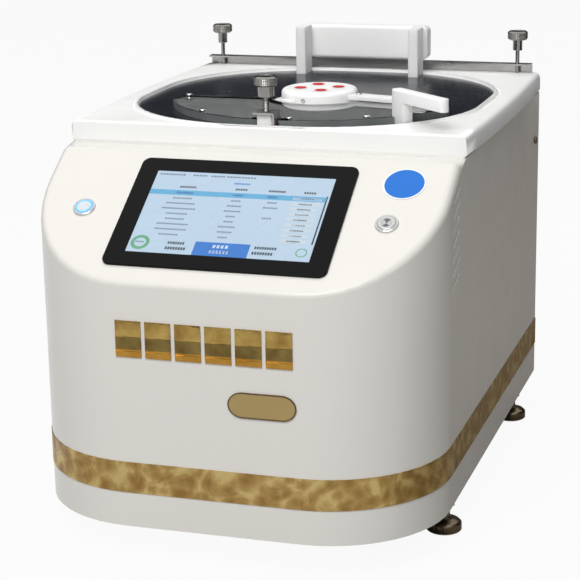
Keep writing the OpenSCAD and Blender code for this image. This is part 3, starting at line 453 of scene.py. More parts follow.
def leaf_flakes():
    """Torn flakes of metal leaf in three tones."""
    group, start, end = new_group(
        "Leaf Flakes",
        [("Vector", "Vector", None), ("Scale", "Float", 60.0), ("Dark", "Color", None),
         ("Middle", "Color", None), ("Bright", "Color", None)],
        [("Colour", "Color"), ("Height", "Float")])
    patches = add(group, "TexNoise", {"Detail": 8, "Roughness": 0.62, "Distortion": 1.6})
    tears = add(group, "TexVoronoi", feature="F1")
    finer = add(group, "Math", {1: 2.6}, operation="MULTIPLY")
    mixed = add(group, "Mix", {0: 0.3})
    low, high = spread(group, 0.36, 0.50), spread(group, 0.50, 0.62)
    first, second = (add(group, "Mix", data_type="RGBA") for _ in range(2))
    wire(group, (start["Vector"], patches.inputs["Vector"]),
         (start["Vector"], tears.inputs["Vector"]), (start["Scale"], patches.inputs["Scale"]),
         (start["Scale"], finer.inputs[0]), (finer.outputs[0], tears.inputs["Scale"]),
         (patches.outputs["Fac"], mixed.inputs[2]), (tears.outputs["Distance"], mixed.inputs[3]),
         (mixed.outputs[0], low.inputs["Value"]), (mixed.outputs[0], high.inputs["Value"]),
         (low.outputs[0], first.inputs[0]), (start["Dark"], first.inputs[6]),
         (start["Middle"], first.inputs[7]), (high.outputs[0], second.inputs[0]),
         (first.outputs[2], second.inputs[6]), (start["Bright"], second.inputs[7]),
         (second.outputs[2], end["Colour"]), (mixed.outputs[0], end["Height"]))
    return group


GROUP_MAKERS = {
    "Surface Grain": surface_grain, "Colour Drift": colour_drift,
    "Handling Marks": handling_marks, "Leaf Flakes": leaf_flakes,
}


def effect(material, name, **values):
    """Places a shared effect in a material with its own values."""
    group = bpy.data.node_groups.get(name) or GROUP_MAKERS[name]()
    node = material.node_tree.nodes.new("ShaderNodeGroup")
    node.node_tree = group
    for key, value in values.items():
        label = key.replace("_", " ")
        if isinstance(value, tuple) and len(value) == 3 and node.inputs[label].type == "RGBA":
            value = (*value, 1.0)
        node.inputs[label].default_value = value
    return node


def lit(colour, factor):
    """A lighter or darker tone of a colour."""
    return tuple(min(1.0, c * factor) for c in colour)


def once(make):
    """Makes a material the first time its name is asked for, and finds it after that."""
    def find(name, *args, **values):
        return bpy.data.materials.get(name) or make(name, *args, **values)
    return find


def material_of(name, tone, marks, fine=None, depth=0.0, emits=False, **plain):
    """A material from its effects; plain values go straight to the shader's sockets."""
    material = bpy.data.materials.new(name)
    material.use_nodes = True
    tree = material.node_tree
    tree.nodes.clear()
    output, shader = add(tree, "OutputMaterial"), add(tree, "BsdfPrincipled")
    place = add(tree, "TexCoord").outputs["Object"]
    for key, value in plain.items():
        label = key.replace("_", " ").title().replace("Ior", "IOR")
        shader.inputs[label].default_value = value
    tone, marks = effect(material, **tone), effect(material, "Handling Marks", **marks)
    wire(tree, (shader.outputs["BSDF"], output.inputs["Surface"]),
         (place, tone.inputs["Vector"]), (place, marks.inputs["Vector"]),
         (tone.outputs["Colour"], shader.inputs["Base Color"]),
         (marks.outputs["Roughness"], shader.inputs["Roughness"]))
    if emits:
        wire(tree, (tone.outputs["Colour"], shader.inputs["Emission Color"]))
    if depth:
        relief = tone
        if fine:
            relief = effect(material, "Surface Grain", **fine)
            wire(tree, (place, relief.inputs["Vector"]))
        bump = add(tree, "Bump", {"Strength": 1.0, "Distance": depth * MM})
        wire(tree, (relief.outputs["Height"], bump.inputs["Height"]),
             (bump.outputs["Normal"], shader.inputs["Normal"]))
    return material


def drifting(colour, second, scale, amount=0.5):
    """Values for a colour that drifts to a second one, or to a darker tone of itself."""
    colour = tuple(colour)
    return {"name": "Colour Drift", "Colour": colour, "Scale": scale, "Amount": amount,
            "Second_Colour": tuple(second) if second else lit(colour, 0.9)}


@once
def leaf(name, scale, tones, rough, depth=0.08, **plain):
    """Metal leaf in torn flakes."""
    return material_of(
        name, {"name": "Leaf Flakes", "Scale": scale, "Dark": tones[0], "Middle": tones[1],
               "Bright": tones[2]},
        {"Scale": scale, "Smooth": rough - 0.08, "Rough": rough + 0.1}, depth=depth, **plain)


@once
def acrylic(name):
    """Clear plastic: plain glass with faint wiping marks."""
    return material_of(
        name, drifting((0.93, 0.95, 0.94), (0.88, 0.91, 0.90), 14.0),
        {"Scale": 9.0, "Smooth": 0.01, "Rough": 0.045},
        transmission_weight=1.0, ior=1.45, specular_ior_level=0.35)


@once
def glowing(name, colour, strength, second=None, scale=220.0):
    """A lit surface: its own colour, and light of that colour."""
    return material_of(
        name, drifting(colour, second, scale), {"Scale": 30.0, "Smooth": 0.2, "Rough": 0.32},
        emits=True, emission_strength=strength, specular_ior_level=0.25)


# ---- finishes ----

METAL = {"metallic": 1.0}
GILT = {"metallic": 1.0, "drift": 1.0, "stretch": (0.5, 1.0, 1.6)}
GLOSS = "specular_ior_level"
MATT = {GLOSS: 0.0}
MARKS_SCALE = 18.0

# Colour and second colour (or the name of a set colour and how much lighter the second is),
# scale of the drift between them, smoothest and roughest gloss, scale and depth in
# millimetres of the grain, and other values of the shader.
FINISHES = {
    "Powder Coat": ("paint", 0.97, 7, 0.16, 0.26, 420, 0.012, {GLOSS: 0.25}),
    "White Plastic": ("plastic", 0.955, 16, 0.36, 0.48, 1400, 0.012, {GLOSS: 0.35}),
    "Grip Plastic": (
        (0.94, 0.94, 0.93), (0.90, 0.90, 0.885), 16, 0.36, 0.48, 1400, 0.012,
        {GLOSS: 0.35, "subsurface_weight": 0.5, "subsurface_scale": 0.012,
         "subsurface_radius": (1.0, 1.0, 1.0)}),
    "Knob Steel": (
        (0.36, 0.35, 0.335), (0.24, 0.23, 0.215), 160, 0.16, 0.26, 2600, 0.006, METAL),
    "Turned Steel": ((0.60, 0.60, 0.61), (0.48, 0.48, 0.50), 60, 0.2, 0.34, 2200, 0.01, METAL),
    "Brushed Steel": (
        (0.56, 0.555, 0.55), (0.42, 0.405, 0.39), 22, 0.24, 0.38, 1500, 0.02,
        {"metallic": 1.0, "stretch": (0.03, 1.0, 1.0)}),
    "Polished Steel": (
        (0.72, 0.72, 0.72), (0.62, 0.61, 0.60), 90, 0.08, 0.17, 2600, 0.004, METAL),
    # Dark nickel in a warm brown tone, partly the metal's own and partly a painted reflection of
    # the gold band.
    "Black Nickel": ((0.26, 0.21, 0.145), (0.15, 0.12, 0.08), 70, 0.24, 0.38, 2600, 0.004, METAL),
    "Zinc Sheet": ((0.50, 0.51, 0.52), (0.40, 0.41, 0.43), 30, 0.34, 0.5, 700, 0.02, METAL),
    "Dark Anodised": ("lid", 1.5, 10, 0.2, 0.28, 1600, 0.006, {GLOSS: 0.42}),
    "Black Plastic": ((0.022, 0.022, 0.024), (0.03, 0.03, 0.032), 7, 0.42, 0.55, 1500, 0.03),
    "Bowl Plastic": ((0.075, 0.078, 0.066), (0.055, 0.057, 0.05), 7, 0.35, 0.5, 900, 0.02),
    # A brighter white, a painted highlight on the lower walls of the vent slots.
    "Bare Edge": ((0.93, 0.93, 0.92), None, 7, 0.3, 0.4, 900, 0.02),
    "Satin Gold": (
        (0.39, 0.285, 0.12), (0.345, 0.25, 0.105), 26, 0.4, 0.5, 1800, 0.01,
        {"metallic": 0.4, GLOSS: 0.2}),
    # Darker gold of the badge's border, sides and back.
    "Aged Gold": (
        (0.10, 0.065, 0.025), (0.17, 0.11, 0.04), 60, 0.3, 0.45, 900, 0.02, {"metallic": 0.8}),
    # Three tones of one polished gold, which paint shade and reflection in bands on the trim bars.
    "Polished Gold": ((0.46, 0.32, 0.10), (0.24, 0.14, 0.035), 70, 0.05, 0.14, 130, 0.12, GILT),
    "Shaded Gold": ((0.22, 0.155, 0.05), (0.11, 0.072, 0.022), 70, 0.05, 0.14, 130, 0.12, GILT),
    "Amber Gold": ((0.46, 0.245, 0.045), (0.30, 0.145, 0.024), 70, 0.05, 0.14, 130, 0.12, GILT),
    "Marker Blue": ("marker", 0.85, 7, 0.22, 0.3, 600, 0.006, {GLOSS: 0.2}),
    "Marker Rim": ((0.82, 0.84, 0.86), None, 7, 0.25, 0.35, 900, 0.02),
    "Bezel Glass": (
        (0.003, 0.003, 0.0035), (0.006, 0.006, 0.007), 7, 0.07, 0.14, 300, 0.003, {GLOSS: 0.1}),
    "Spun White": (
        (0.62, 0.66, 0.72), (0.80, 0.84, 0.88), 300, 0.2, 0.3, 900, 0.02, {"metallic": 0.6}),
    # Dark wedges of painted reflection on a spun steel face.
    "Spun Shade": ((0.16, 0.16, 0.165), (0.24, 0.24, 0.245), 300, 0.2, 0.34, 900, 0.02, METAL),
    "Acrylic Edge": ((0.13, 0.14, 0.14), (0.22, 0.235, 0.235), 40, 0.25, 0.4, 900, 0.02),
    "Plug Red": ("plug", 0.8, 80, 0.2, 0.3, 900, 0.02, {"coat_weight": 0.3}),
    "Chuck Grey": ((0.16, 0.165, 0.17), (0.12, 0.125, 0.13), 24, 0.28, 0.4, 1500, 0.015),
    "Seal Rubber": ((0.03, 0.03, 0.03), None, 7, 0.5, 0.65, 900, 0.02),
    "Motor Grey": ((0.06, 0.064, 0.07), (0.085, 0.09, 0.095), 20, 0.4, 0.55, 800, 0.03),
    "Windings": (
        (0.30, 0.15, 0.07), (0.16, 0.08, 0.04), 180, 0.35, 0.5, 500, 0.1,
        {"metallic": 0.5, "stretch": (1.0, 1.0, 0.05)}),
    "Blue Hose": (
        (0.03, 0.16, 0.50), (0.02, 0.11, 0.38), 30, 0.25, 0.35, 900, 0.02, {"coat_weight": 0.2}),
    "Board Green": ((0.02, 0.16, 0.05), (0.015, 0.11, 0.04), 120, 0.3, 0.45, 500, 0.05),
    "Studio Cloth": ((0.035, 0.035, 0.038), (0.02, 0.02, 0.022), 2, 0.8, 0.95, 900, 0.02, MATT),
    "Studio Mat": ((0.34, 0.305, 0.26), (0.28, 0.25, 0.21), 3, 0.8, 0.95, 900, 0.02, MATT),
}


def colours():
    """The colours that are set now."""
    return bpy.context.scene.coater_colours


@once
def surface(name):
    """A finish with slow colour change, uneven gloss and fine grain."""
    colour, second, scale, smooth, rough, grain, depth, *more = FINISHES[name]
    more = dict(*more)
    if isinstance(colour, str):
        colour = getattr(colours(), colour)
        second = lit(colour, second)
    return material_of(
        name, drifting(colour, second, scale, more.pop("drift", 0.5)),
        {"Scale": MARKS_SCALE, "Smooth": smooth, "Rough": rough},
        {"Scale": grain, "Stretch": more.pop("stretch", (1.0, 1.0, 1.0))}, depth, **more)


def finish(material):
    """The finish of this name, or the material itself."""
    return surface(material) if isinstance(material, str) else material


# ---- pieces ----


class COATER_OT_cabinet(bpy.types.Operator):
    """Finishes the painted housing, its base, feet and rear panel."""

    bl_idname = "coater.cabinet"
    bl_label = "Cabinet"

    def execute(self, context):
        shell = dress("housing_shell", "Powder Coat", angle=24, flatten=False)
        self.vents(shell)
        only(shell)
        bpy.ops.object.shade_smooth_by_angle(angle=math.radians(24))
        modifier(shell, "WEIGHTED_NORMAL", keep_sharp=True, weight=90)
        self.side_screws()
        dress("rear_panel", "Powder Coat")
        dress("base_plate", "Zinc Sheet")
        # The feet's warm brown tone is partly a painted reflection of the gold band.
        for foot in ("front_left", "front_right", "rear_left", "rear_right"):
            dress("foot_" + foot, "Black Nickel", angle=25)
        heads = [socket_head((low + high) / 2, "panel_screws")
                 for low, high in islands("panel_screws", 14 * MM)]
        deliver(join(heads, "panel_screw_heads"), "panel_screws", "Turned Steel", stands_for=True)
        return {"FINISHED"}

    def vents(self, shell):
        """Closes the steep slots of the shell and cuts them in line with the sloping panel; the
        lower walls of the slots get a brighter white, a painted highlight.
        """
        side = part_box("housing_shell")[1].x
        pick_faces(shell, lambda c, n: (
            abs(n.x) < 0.5 and self.in_slot(c, STEEP_TOP, STEEP_TURN)))
        bpy.ops.mesh.delete(type="FACE")
        bpy.ops.mesh.select_all(action="SELECT")
        bpy.ops.mesh.fill_holes(sides=0)
        bpy.ops.mesh.quads_convert_to_tris(quad_method="BEAUTY", ngon_method="BEAUTY")
        bpy.ops.mesh.select_all(action="SELECT")
        bpy.ops.mesh.dissolve_limited(angle_limit=math.radians(0.5))
        close_edit()
        cutters = []
        for i in range(VENT_COUNT):
            half = (side + 2 * MM, VENT_LENGTH / 2, VENT_WIDTH / 2)
            cutter = block([-h for h in half], half)
            pick_edges(cutter, lambda a, b: abs(a.x - b.x) > side)
            bpy.ops.mesh.bevel(offset=1.1 * MM, segments=4)
            close_edit()
            cutter.rotation_euler = (math.radians(VENT_TURN), 0, 0)
            cutter.location = (0, VENT_Y, VENT_TOP - VENT_PITCH * i)
            settle(cutter)
            cutters.append(cutter)
        cutter = join(cutters, "slot_cutter")
        modifier(shell, "BOOLEAN", operation="DIFFERENCE", solver="EXACT", object=cutter)
        bpy.data.objects.remove(cutter)
        # Painted highlight: the lower walls of the slots in a brighter white than the paint.
        paint_faces(shell, "Bare Edge", lambda c, n: (
            n.z > 0.3 and abs(n.x) < 0.5 and abs(c.x) > side - 3 * MM
            and self.in_slot(c, VENT_TOP, VENT_TURN)))

    def in_slot(self, place, top, turn):
        """Tells whether a place lies within one of the slots of a side."""
        turn = math.radians(turn)
        for i in range(VENT_COUNT):
            y, z = place.y - VENT_Y, place.z - top + VENT_PITCH * i
            along = y * math.cos(turn) + z * math.sin(turn)
            off = z * math.cos(turn) - y * math.sin(turn)
            if abs(along) < VENT_LENGTH / 2 + 0.15 * MM and abs(off) < VENT_WIDTH / 2 + 0.4 * MM:
                return True
        return False

    def side_screws(self):
        """A small round screw near the rear top of each side."""
        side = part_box("housing_shell")[1].x
        heads = []
        for sign in (1, -1):
            head = screw_head(3.6 * MM, 2.4 * MM, 1.1 * MM, 0.8 * MM, 1.2 * MM, sides=32)
            head.rotation_euler = (0, sign * math.pi / 2, 0)
            head.location = (sign * side, *SIDE_SCREW)
            settle(head)
            heads.append(head)
        deliver(join(heads, "side_screw_heads"), "housing_shell", "Black Nickel")


def screw_head(radius, height, dome, margin, depth, sides=24, segments=4):
    """A domed screw head standing at the origin, with a round socket."""
    piece = cylinder(radius, 0, height, sides=sides)
    bevel(piece, dome, segments=segments)
    recess(piece, margin, depth, lambda c, n: n.z > 0.95 and c.z > height * 0.9)
    return piece


def socket_head(centre, node):
    """A screw head for a small solid of a node, facing up or to the rear."""
    height = 2.2 * MM
    piece = screw_head(3.4 * MM, height, 1.2 * MM, 0.6 * MM, 1.1 * MM, sides=28)
    if node == "panel_screws":
        piece.rotation_euler = (-math.pi / 2, 0, 0)
        piece.location = (centre.x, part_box(node)[1].y - height, centre.z)
    else:
        piece.location = (centre.x, centre.y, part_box(node)[1].z - height)
    settle(piece)
    return piece


class COATER_OT_trim(bpy.types.Operator):
    """Adds the gold band, the blank badge, the plain trim bars and the round marker."""

    bl_idname = "coater.trim"
    bl_label = "Trim"

    def execute(self, context):
        tones = [tuple(c) for c in (colours().gold_dark, colours().gold_middle,
                                    colours().gold_bright)]
        dress("gold_band", leaf("Gold Leaf", 34.0, tones, 0.4, metallic=0.75,
                                specular_ior_level=0.2), angle=20)
        self.badge(context)
        self.bars(context)
        self.marker(context)
        return {"FINISHED"}

    def badge(self, context):
        """The blank badge: a satin face sunk in a dark border."""
        piece = dress("badge_plate", "Satin Gold", flatten=False)
        merge_flat(piece)
        front = min(v.co.y for v in piece.data.vertices)
        pick_faces(piece, lambda c, n: n.y < -0.95 and c.y < front + 0.1 * MM)
        bpy.ops.mesh.inset(thickness=context.scene.coater_sizes.badge_border)
        push(y=0.25 * MM)
        close_edit()
        paint_faces(piece, "Aged Gold", lambda c, n: not (n.y < -0.95 and c.y > front + 0.2 * MM))
        low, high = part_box("badge_plate")
        edit(piece, action="SELECT")
        bpy.ops.transform.resize(
            value=(1.0, 1.0, BADGE_SHARE), center_override=(low + high) / 2)
        close_edit()
        bpy.ops.mesh.customdata_custom_splitnormals_clear()
        bpy.ops.object.shade_smooth_by_angle(angle=math.radians(30))

    def bars(self, context):
        """Six plain raised bars, each with two cut lines, in bands of painted light: polished gold
        above, painted shade in the middle band and a painted warm reflection in the bottom band.
        """
        thickness = context.scene.coater_sizes.bar_thickness
        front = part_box("housing_shell")[0].y
        left, right, bottom, top, gap = BARS
        rows = (bottom + 5.6 * MM, top - 12.5 * MM)
        width = (right - left + gap) / BAR_COUNT - gap
        first = block((left, front - thickness, bottom), (left + width, front, top))
        for height in rows:
            for step in (-0.9, 0.9):
                edit(first, action="SELECT")
                bpy.ops.mesh.bisect(plane_co=(0, 0, height + step * MM), plane_no=(0, 0, 1))
                close_edit()
        pick_faces(first, lambda c, n: n.y < -0.9 and min(abs(c.z - r) for r in rows) < 0.5 * MM)
        bpy.ops.mesh.inset(thickness=0.1 * MM)
        push(y=thickness * 0.6)
        close_edit()
        bevel(first, 0.45 * MM, segments=3)
        first.data.materials.append(finish("Polished Gold"))
        # Painted shade on the middle band and a painted reflection on the bottom band of each bar.
        paint_faces(first, "Shaded Gold", lambda c, n: rows[0] < c.z < rows[1])
        paint_faces(first, "Amber Gold", lambda c, n: c.z < rows[0])
        bars = [first]
        for i in range(1, BAR_COUNT):
            copy = bpy.data.objects.new("bar", first.data.copy())
            bpy.context.scene.collection.objects.link(copy)
            copy.location.x = i * (width + gap)
            settle(copy)
            bars.append(copy)
        piece = join(bars, "trim_bars")
        deliver(piece, "badge_plate", None)

    def marker(self, context):
        """The round marker: a blue disc with a white rim."""
        low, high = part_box("round_marker")
        radius = (high.x - low.x) / 2
        piece = cylinder(radius, 0, 0.6 * MM, sides=96)
        bevel(piece, 0.2 * MM, segments=2)
        pick_faces(piece, lambda c, n: n.z > 0.9 and c.to_2d().length < 1 * MM)
        bpy.ops.mesh.inset(thickness=1.0 * MM)
        close_edit()
        pick_faces(piece, lambda c, n: n.z > 0.9 and c.to_2d().length < 1 * MM)
        push(-0.05 * MM)
        close_edit()
        piece.data.materials.append(finish("Marker Blue"))
        paint_faces(piece, "Marker Rim", lambda c, n: c.to_2d().length > radius - 1.1 * MM)
        on_slope(piece, (low.x + high.x) / 2, MARKER_DOWN)
        piece.name = "marker_disc"
        deliver(piece, "round_marker", None, stands_for=True)


class COATER_OT_screen(bpy.types.Operator):
    """Adds the black glass bezel and the lit screen with its plain marks."""

    bl_idname = "coater.screen"
    bl_label = "Touch screen"

    def execute(self, context):
        dress("touch_bezel", "Bezel Glass", rounding=0.5 * MM)
        dress("lcd_panel", glowing("Screen Ground", colours().screen, 0.6,
                                   lit(colours().screen, 0.94), scale=26.0))
        dress("display_module", "Zinc Sheet")
        thickness = context.scene.coater_sizes.mark_thickness
        for name, (colour, strength, bars) in self.marks().items():
            sheets = [self.bar(*spot) for spot in bars]
            piece = join(sheets, "screen_marks_" + name)
            modifier(piece, "SOLIDIFY", thickness=thickness, offset=1.0)
            on_slope(piece, 0, BEZEL_DOWN)
            deliver(piece, "lcd_panel", glowing("Screen " + name.title(), colour, strength))
        for name, u, v, ring, wire, colour in (
                ("left", 0.062, 0.885, 6.4, 1.5, (0.10, 0.27, 0.16)),
                ("right", 0.945, 0.900, 4.3, 0.5, (0.12, 0.25, 0.18))):
            only(None)
            bpy.ops.mesh.primitive_torus_add(
                major_radius=ring * MM, minor_radius=wire * MM, major_segments=48,
                minor_segments=8, location=(*self.spot(u, v), SCREEN_FACE))
            piece = bpy.context.object
            piece.scale.z = 0.1
            settle(piece)
            piece.name = "screen_ring_" + name
            on_slope(piece, 0, BEZEL_DOWN)
            deliver(piece, "lcd_panel", glowing("Screen Ring", colour, 0.3))
        return {"FINISHED"}

    def spot(self, u, v):
        """Place on the screen from its top left corner, as shares of its size."""
        return ((u - 0.5) * SCREEN_W, SCREEN_TOP - v * SCREEN_H)

    def bar(self, u0, v0, u1, v1, count):
        """A plain bar, or a row of short strokes of the same length over all."""
        x0, y0 = self.spot(u0, v0)
        x1, y1 = self.spot(u1, v1)
        step = (x1 - x0) / count
        width = step * (0.66 if count > 1 else 1)
        only(None)
        bpy.ops.mesh.primitive_plane_add(
            size=1, location=(x0 + width / 2, (y0 + y1) / 2, SCREEN_FACE))
        piece = bpy.context.object
        piece.scale = (width, abs(y1 - y0), 1)
        settle(piece)
        if count > 1:
            modifier(piece, "ARRAY", count=count, use_relative_offset=False,
                     use_constant_offset=True, constant_offset_displace=(step, 0, 0))
        return piece

    def marks(self):
        """Plain bars in each colour: menu, table rows, buttons and labels."""
        grey, blue, pale, dark, teal, ink, white = [], [], [], [], [], [], []
        for i, letters in enumerate((9, 5, 5, 5, 5)):
            left = 0.02 + (0.0, 0.19, 0.29, 0.38, 0.465)[i]
            grey.append((left, 0.030, left + letters * 0.0165, 0.048, letters))
        blue.append((0.455, 0.108, 0.545, 0.128, 8))
        for u, letters in ((0.16, 7), (0.475, 5), (0.66, 7), (0.855, 5)):
            dark.append((u, 0.178, u + letters * LETTER, 0.200, letters))
        teal.append((0.0, 0.232, 0.985, 0.292, 1))
        for u, letters in ((0.155, 7), (0.475, 4), (0.665, 4)):
            ink.append((u, 0.252, u + letters * LETTER, 0.272, letters))
        white.append((0.80, 0.243, 0.965, 0.283, 1))
        dark.append((0.85, 0.256, 0.92, 0.270, 6))
        for row in range(8):
            v = 0.322 + row * 0.0635
            for middle, most in ((0.20, 14), (0.50, 7), (0.70, 7)):
                wave = math.sin(row * 2.3 + middle * 31) ** 2
                letters = max(3, round(most * (0.55 + 0.45 * wave)))
                if middle < 0.6 or row in (0, 1, 3):
                    half = letters * 0.0068
                    grey.append((middle - half, v, middle + half, v + 0.018, letters))
            pale.append((0.805, v - 0.010, 0.955, v + 0.028, 1))
            dark.append((0.845, v + 0.001, 0.92, v + 0.017, 6))
        dark.append((0.982, 0.22, 0.990, 0.80, 1))
        blue.append((0.365, 0.840, 0.665, 1.0, 1))
        white += [(0.465, 0.868, 0.555, 0.905, 4), (0.455, 0.932, 0.565, 0.969, 6)]
        for u, letters in ((0.215, 7), (0.69, 9)):
            dark.append((u, 0.858, u + letters * LETTER, 0.888, letters))
            dark.append((u - 0.005, 0.920, u + 0.110, 0.952, 8))
        grey.append((0.035, 0.872, 0.085, 0.888, 4))
        return {"pale": ((0.38, 0.44, 0.49), 0.3, pale), "teal": ((0.095, 0.28, 0.44), 0.3, teal),
                "blue": ((0.035, 0.135, 0.40), 0.3, blue), "ink": ((0.05, 0.07, 0.34), 0.2, ink),
                "grey": ((0.13, 0.17, 0.215), 0.1, grey), "dark": ((0.03, 0.04, 0.05), 0.05, dark),
                "white": ((0.62, 0.68, 0.76), 0.3, white)}


class COATER_OT_buttons(bpy.types.Operator):
    """Adds the two push buttons: a flange, a lit or bright ring, and a spun face."""

    bl_idname = "coater.buttons"
    bl_label = "Push buttons"

    def execute(self, context):
        lamp = glowing("Button Glow", colours().glow, 0.9)
        for side, ring, face in (
                ("left", lamp, "Spun White"), ("right", "Polished Steel", "Turned Steel")):
            low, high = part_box(side + "_button_body")
            x = (low.x + high.x) / 2
            flange = cylinder(FLANGE_R, 0, 1.8 * MM, sides=64)
            bevel(flange, 0.6 * MM, segments=3)
            pick_faces(flange, lambda c, n: abs(n.z) > 0.95 and c.to_2d().length < 1 * MM)
            bpy.ops.mesh.inset(thickness=FLANGE_R - BUTTON_OPENING)
            bpy.ops.mesh.bridge_edge_loops()
            close_edit()
            barrel = cylinder(BARREL_R, -24 * MM, OVERLAP)
            bevel(barrel, 0.4 * MM)
            pick_faces(barrel, lambda c, n: n.z > 0.95)
            push(-4 * MM)
            close_edit()
            nut = cylinder(NUT_R, -7 * MM, -2.5 * MM, sides=6)
            pick_faces(nut, lambda c, n: abs(n.z) > 0.95)
            bpy.ops.mesh.inset(thickness=2.3 * MM)
            bpy.ops.mesh.bridge_edge_loops()
            close_edit()
            bevel(nut, 0.4 * MM)
            piece = join([flange, barrel, nut], side + "_button_flange")
            on_slope(piece, x, BUTTON_DOWN)
            deliver(piece, side + "_button_body", "Polished Steel", stands_for=True)
            self.cap(side, x, ring, face)
        return {"FINISHED"}

    def cap(self, side, x, ring, face):
        """The pressed cap: a flat ring round a shallow spun cone; the right cap's cone gets dark
        wedges of painted reflection.
        """
        piece = cylinder(CAP_R, -1.8 * MM, 2.2 * MM, sides=64)
        bevel(piece, 0.35 * MM)
        inner = (5.9 if side == "left" else 4.6) * MM
        pick_faces(piece, lambda c, n: n.z > 0.95 and c.z > 2.1 * MM)
        bpy.ops.mesh.inset(thickness=CAP_R - 0.35 * MM - inner)
        push(-0.3 * MM)
        bpy.ops.mesh.inset(thickness=0.15 * MM)
        push(0.22 * MM)
        bpy.ops.mesh.poke(offset=-0.55 * MM, use_relative_offset=False)
        close_edit()
        piece.data.materials.append(finish(ring))
        paint_faces(piece, face, lambda c, n: (
            c.to_2d().length < inner - 0.3 * MM and c.z > 0.5 * MM))
        # Dark wedges of painted reflection on the right cap's spun cone.
        if side == "right":
            paint_faces(piece, "Spun Shade", lambda c, n: (
                c.to_2d().length < inner - 0.3 * MM and c.z > 0.5 * MM
                and abs(c.y) > 1.3 * abs(c.x)))
        piece.name = side + "_button_face"
        on_slope(piece, x, BUTTON_DOWN)
        deliver(piece, side + "_button_cap", None, stands_for=True)


class COATER_OT_deck(bpy.types.Operator):
    """Finishes the plastic deck and the steel rail behind it."""

    bl_idname = "coater.deck"
    bl_label = "Deck and rail"

    def execute(self, context):
        dress("deck_plate", "White Plastic", angle=28)
        dress("rear_rail", "Brushed Steel", rounding=0.3 * MM)
        return {"FINISHED"}


class COATER_OT_lid(bpy.types.Operator):
    """Finishes the dark lid plate, its clear window, collar, screws and front latch."""

    bl_idname = "coater.lid"
    bl_label = "Lid"

    def execute(self, context):
        dress("lid_plate", "Dark Anodised", rounding=0.35 * MM)
        window = dress("lid_window", acrylic("Clear Acrylic"), angle=25)
        pick_points(window, lambda c: c.x < WINDOW_LINE)
        bpy.ops.transform.resize(
            value=(WINDOW_SHARE, 1, 1), center_override=(WINDOW_LINE, 0, 0))
        close_edit()
        paint_faces(window, "Acrylic Edge", lambda c, n: abs(n.z) < 0.5)
        dress("port_collar", "Grip Plastic")
        heads = [socket_head((low + high) / 2, "window_screws")
                 for low, high in islands("window_screws")]
        deliver(join(heads, "window_screw_heads"), "window_screws", "Polished Steel",
                stands_for=True)
        dress("latch_block", "Grip Plastic", rounding=0.4 * MM)
        dress("latch_bracket", "Brushed Steel", rounding=0.2 * MM)
        spring = frame["nodes"]["latch_spring"]
        spring.data.materials.clear()
        spring.data.materials.append(finish("Knob Steel"))
        return {"FINISHED"}


class COATER_OT_turret(bpy.types.Operator):
    """Finishes the port cap, its plugs, the swinging arm and their screws."""

    bl_idname = "coater.turret"
    bl_label = "Port cap and arm"

    def execute(self, context):
        dress("port_turret", "Grip Plastic", angle=40)
        dress("turret_arm", "Grip Plastic", rounding=0.35 * MM)
        dress("turret_stop", "Grip Plastic", rounding=0.35 * MM)
        dress("port_plugs", "Plug Red")
        dress("arm_pivot_screw", "White Plastic", angle=40)
        centre = (PUCK_LOW + PUCK_HIGH) / 2
        radius = (PUCK_HIGH.x - PUCK_LOW.x) / 2
        arm_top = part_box("turret_arm")[1].z
        dome = screw_head(2.6 * MM, 1.5 * MM, 0.8 * MM, 0.5 * MM, 0.5 * MM, segments=3)
        along = self.ray(ARM_TURN)
        dome.location = centre + ARM_SCREW_OUT * along
        dome.location.z = arm_top - 0.1 * MM
        settle(dome)
        grub = screw_head(1.9 * MM, 0.9 * MM, 0.3 * MM, 0.5 * MM, 0.5 * MM, segments=2)
        along = self.ray(GRUB_TURN)
        grub.rotation_euler = along.to_track_quat("Z", "Y").to_euler()
        grub.location = centre + (radius - 0.6 * MM) * along - Vector((0, 0, 1 * MM))
        settle(grub)
        heads = [dome, grub]
        deliver(join(heads, "turret_screw_heads"), "turret_arm", "Polished Steel")
        return {"FINISHED"}

    def ray(self, degrees):
        """A level direction at this angle from +X."""
        turn = math.radians(degrees)
        return Vector((math.cos(turn), math.sin(turn), 0))


class COATER_OT_grips(bpy.types.Operator):
    """Finishes the rear handle and the front grip."""

    bl_idname = "coater.grips"
    bl_label = "Handle and grip"

    def execute(self, context):
        rounding = context.scene.coater_sizes.edge_round
        for node in ("handle_post_left", "handle_post_right", "front_grip"):
            dress(node, "Grip Plastic", rounding=rounding)
        grip = dress("handle_grip", "Grip Plastic", rounding=rounding)
        low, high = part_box("handle_grip")
        pick_points(grip, lambda c: c.z < (low.z + high.z) / 2)
        bpy.ops.transform.translate(value=(0, 0, -HANDLE_DROP))
        close_edit()
        return {"FINISHED"}


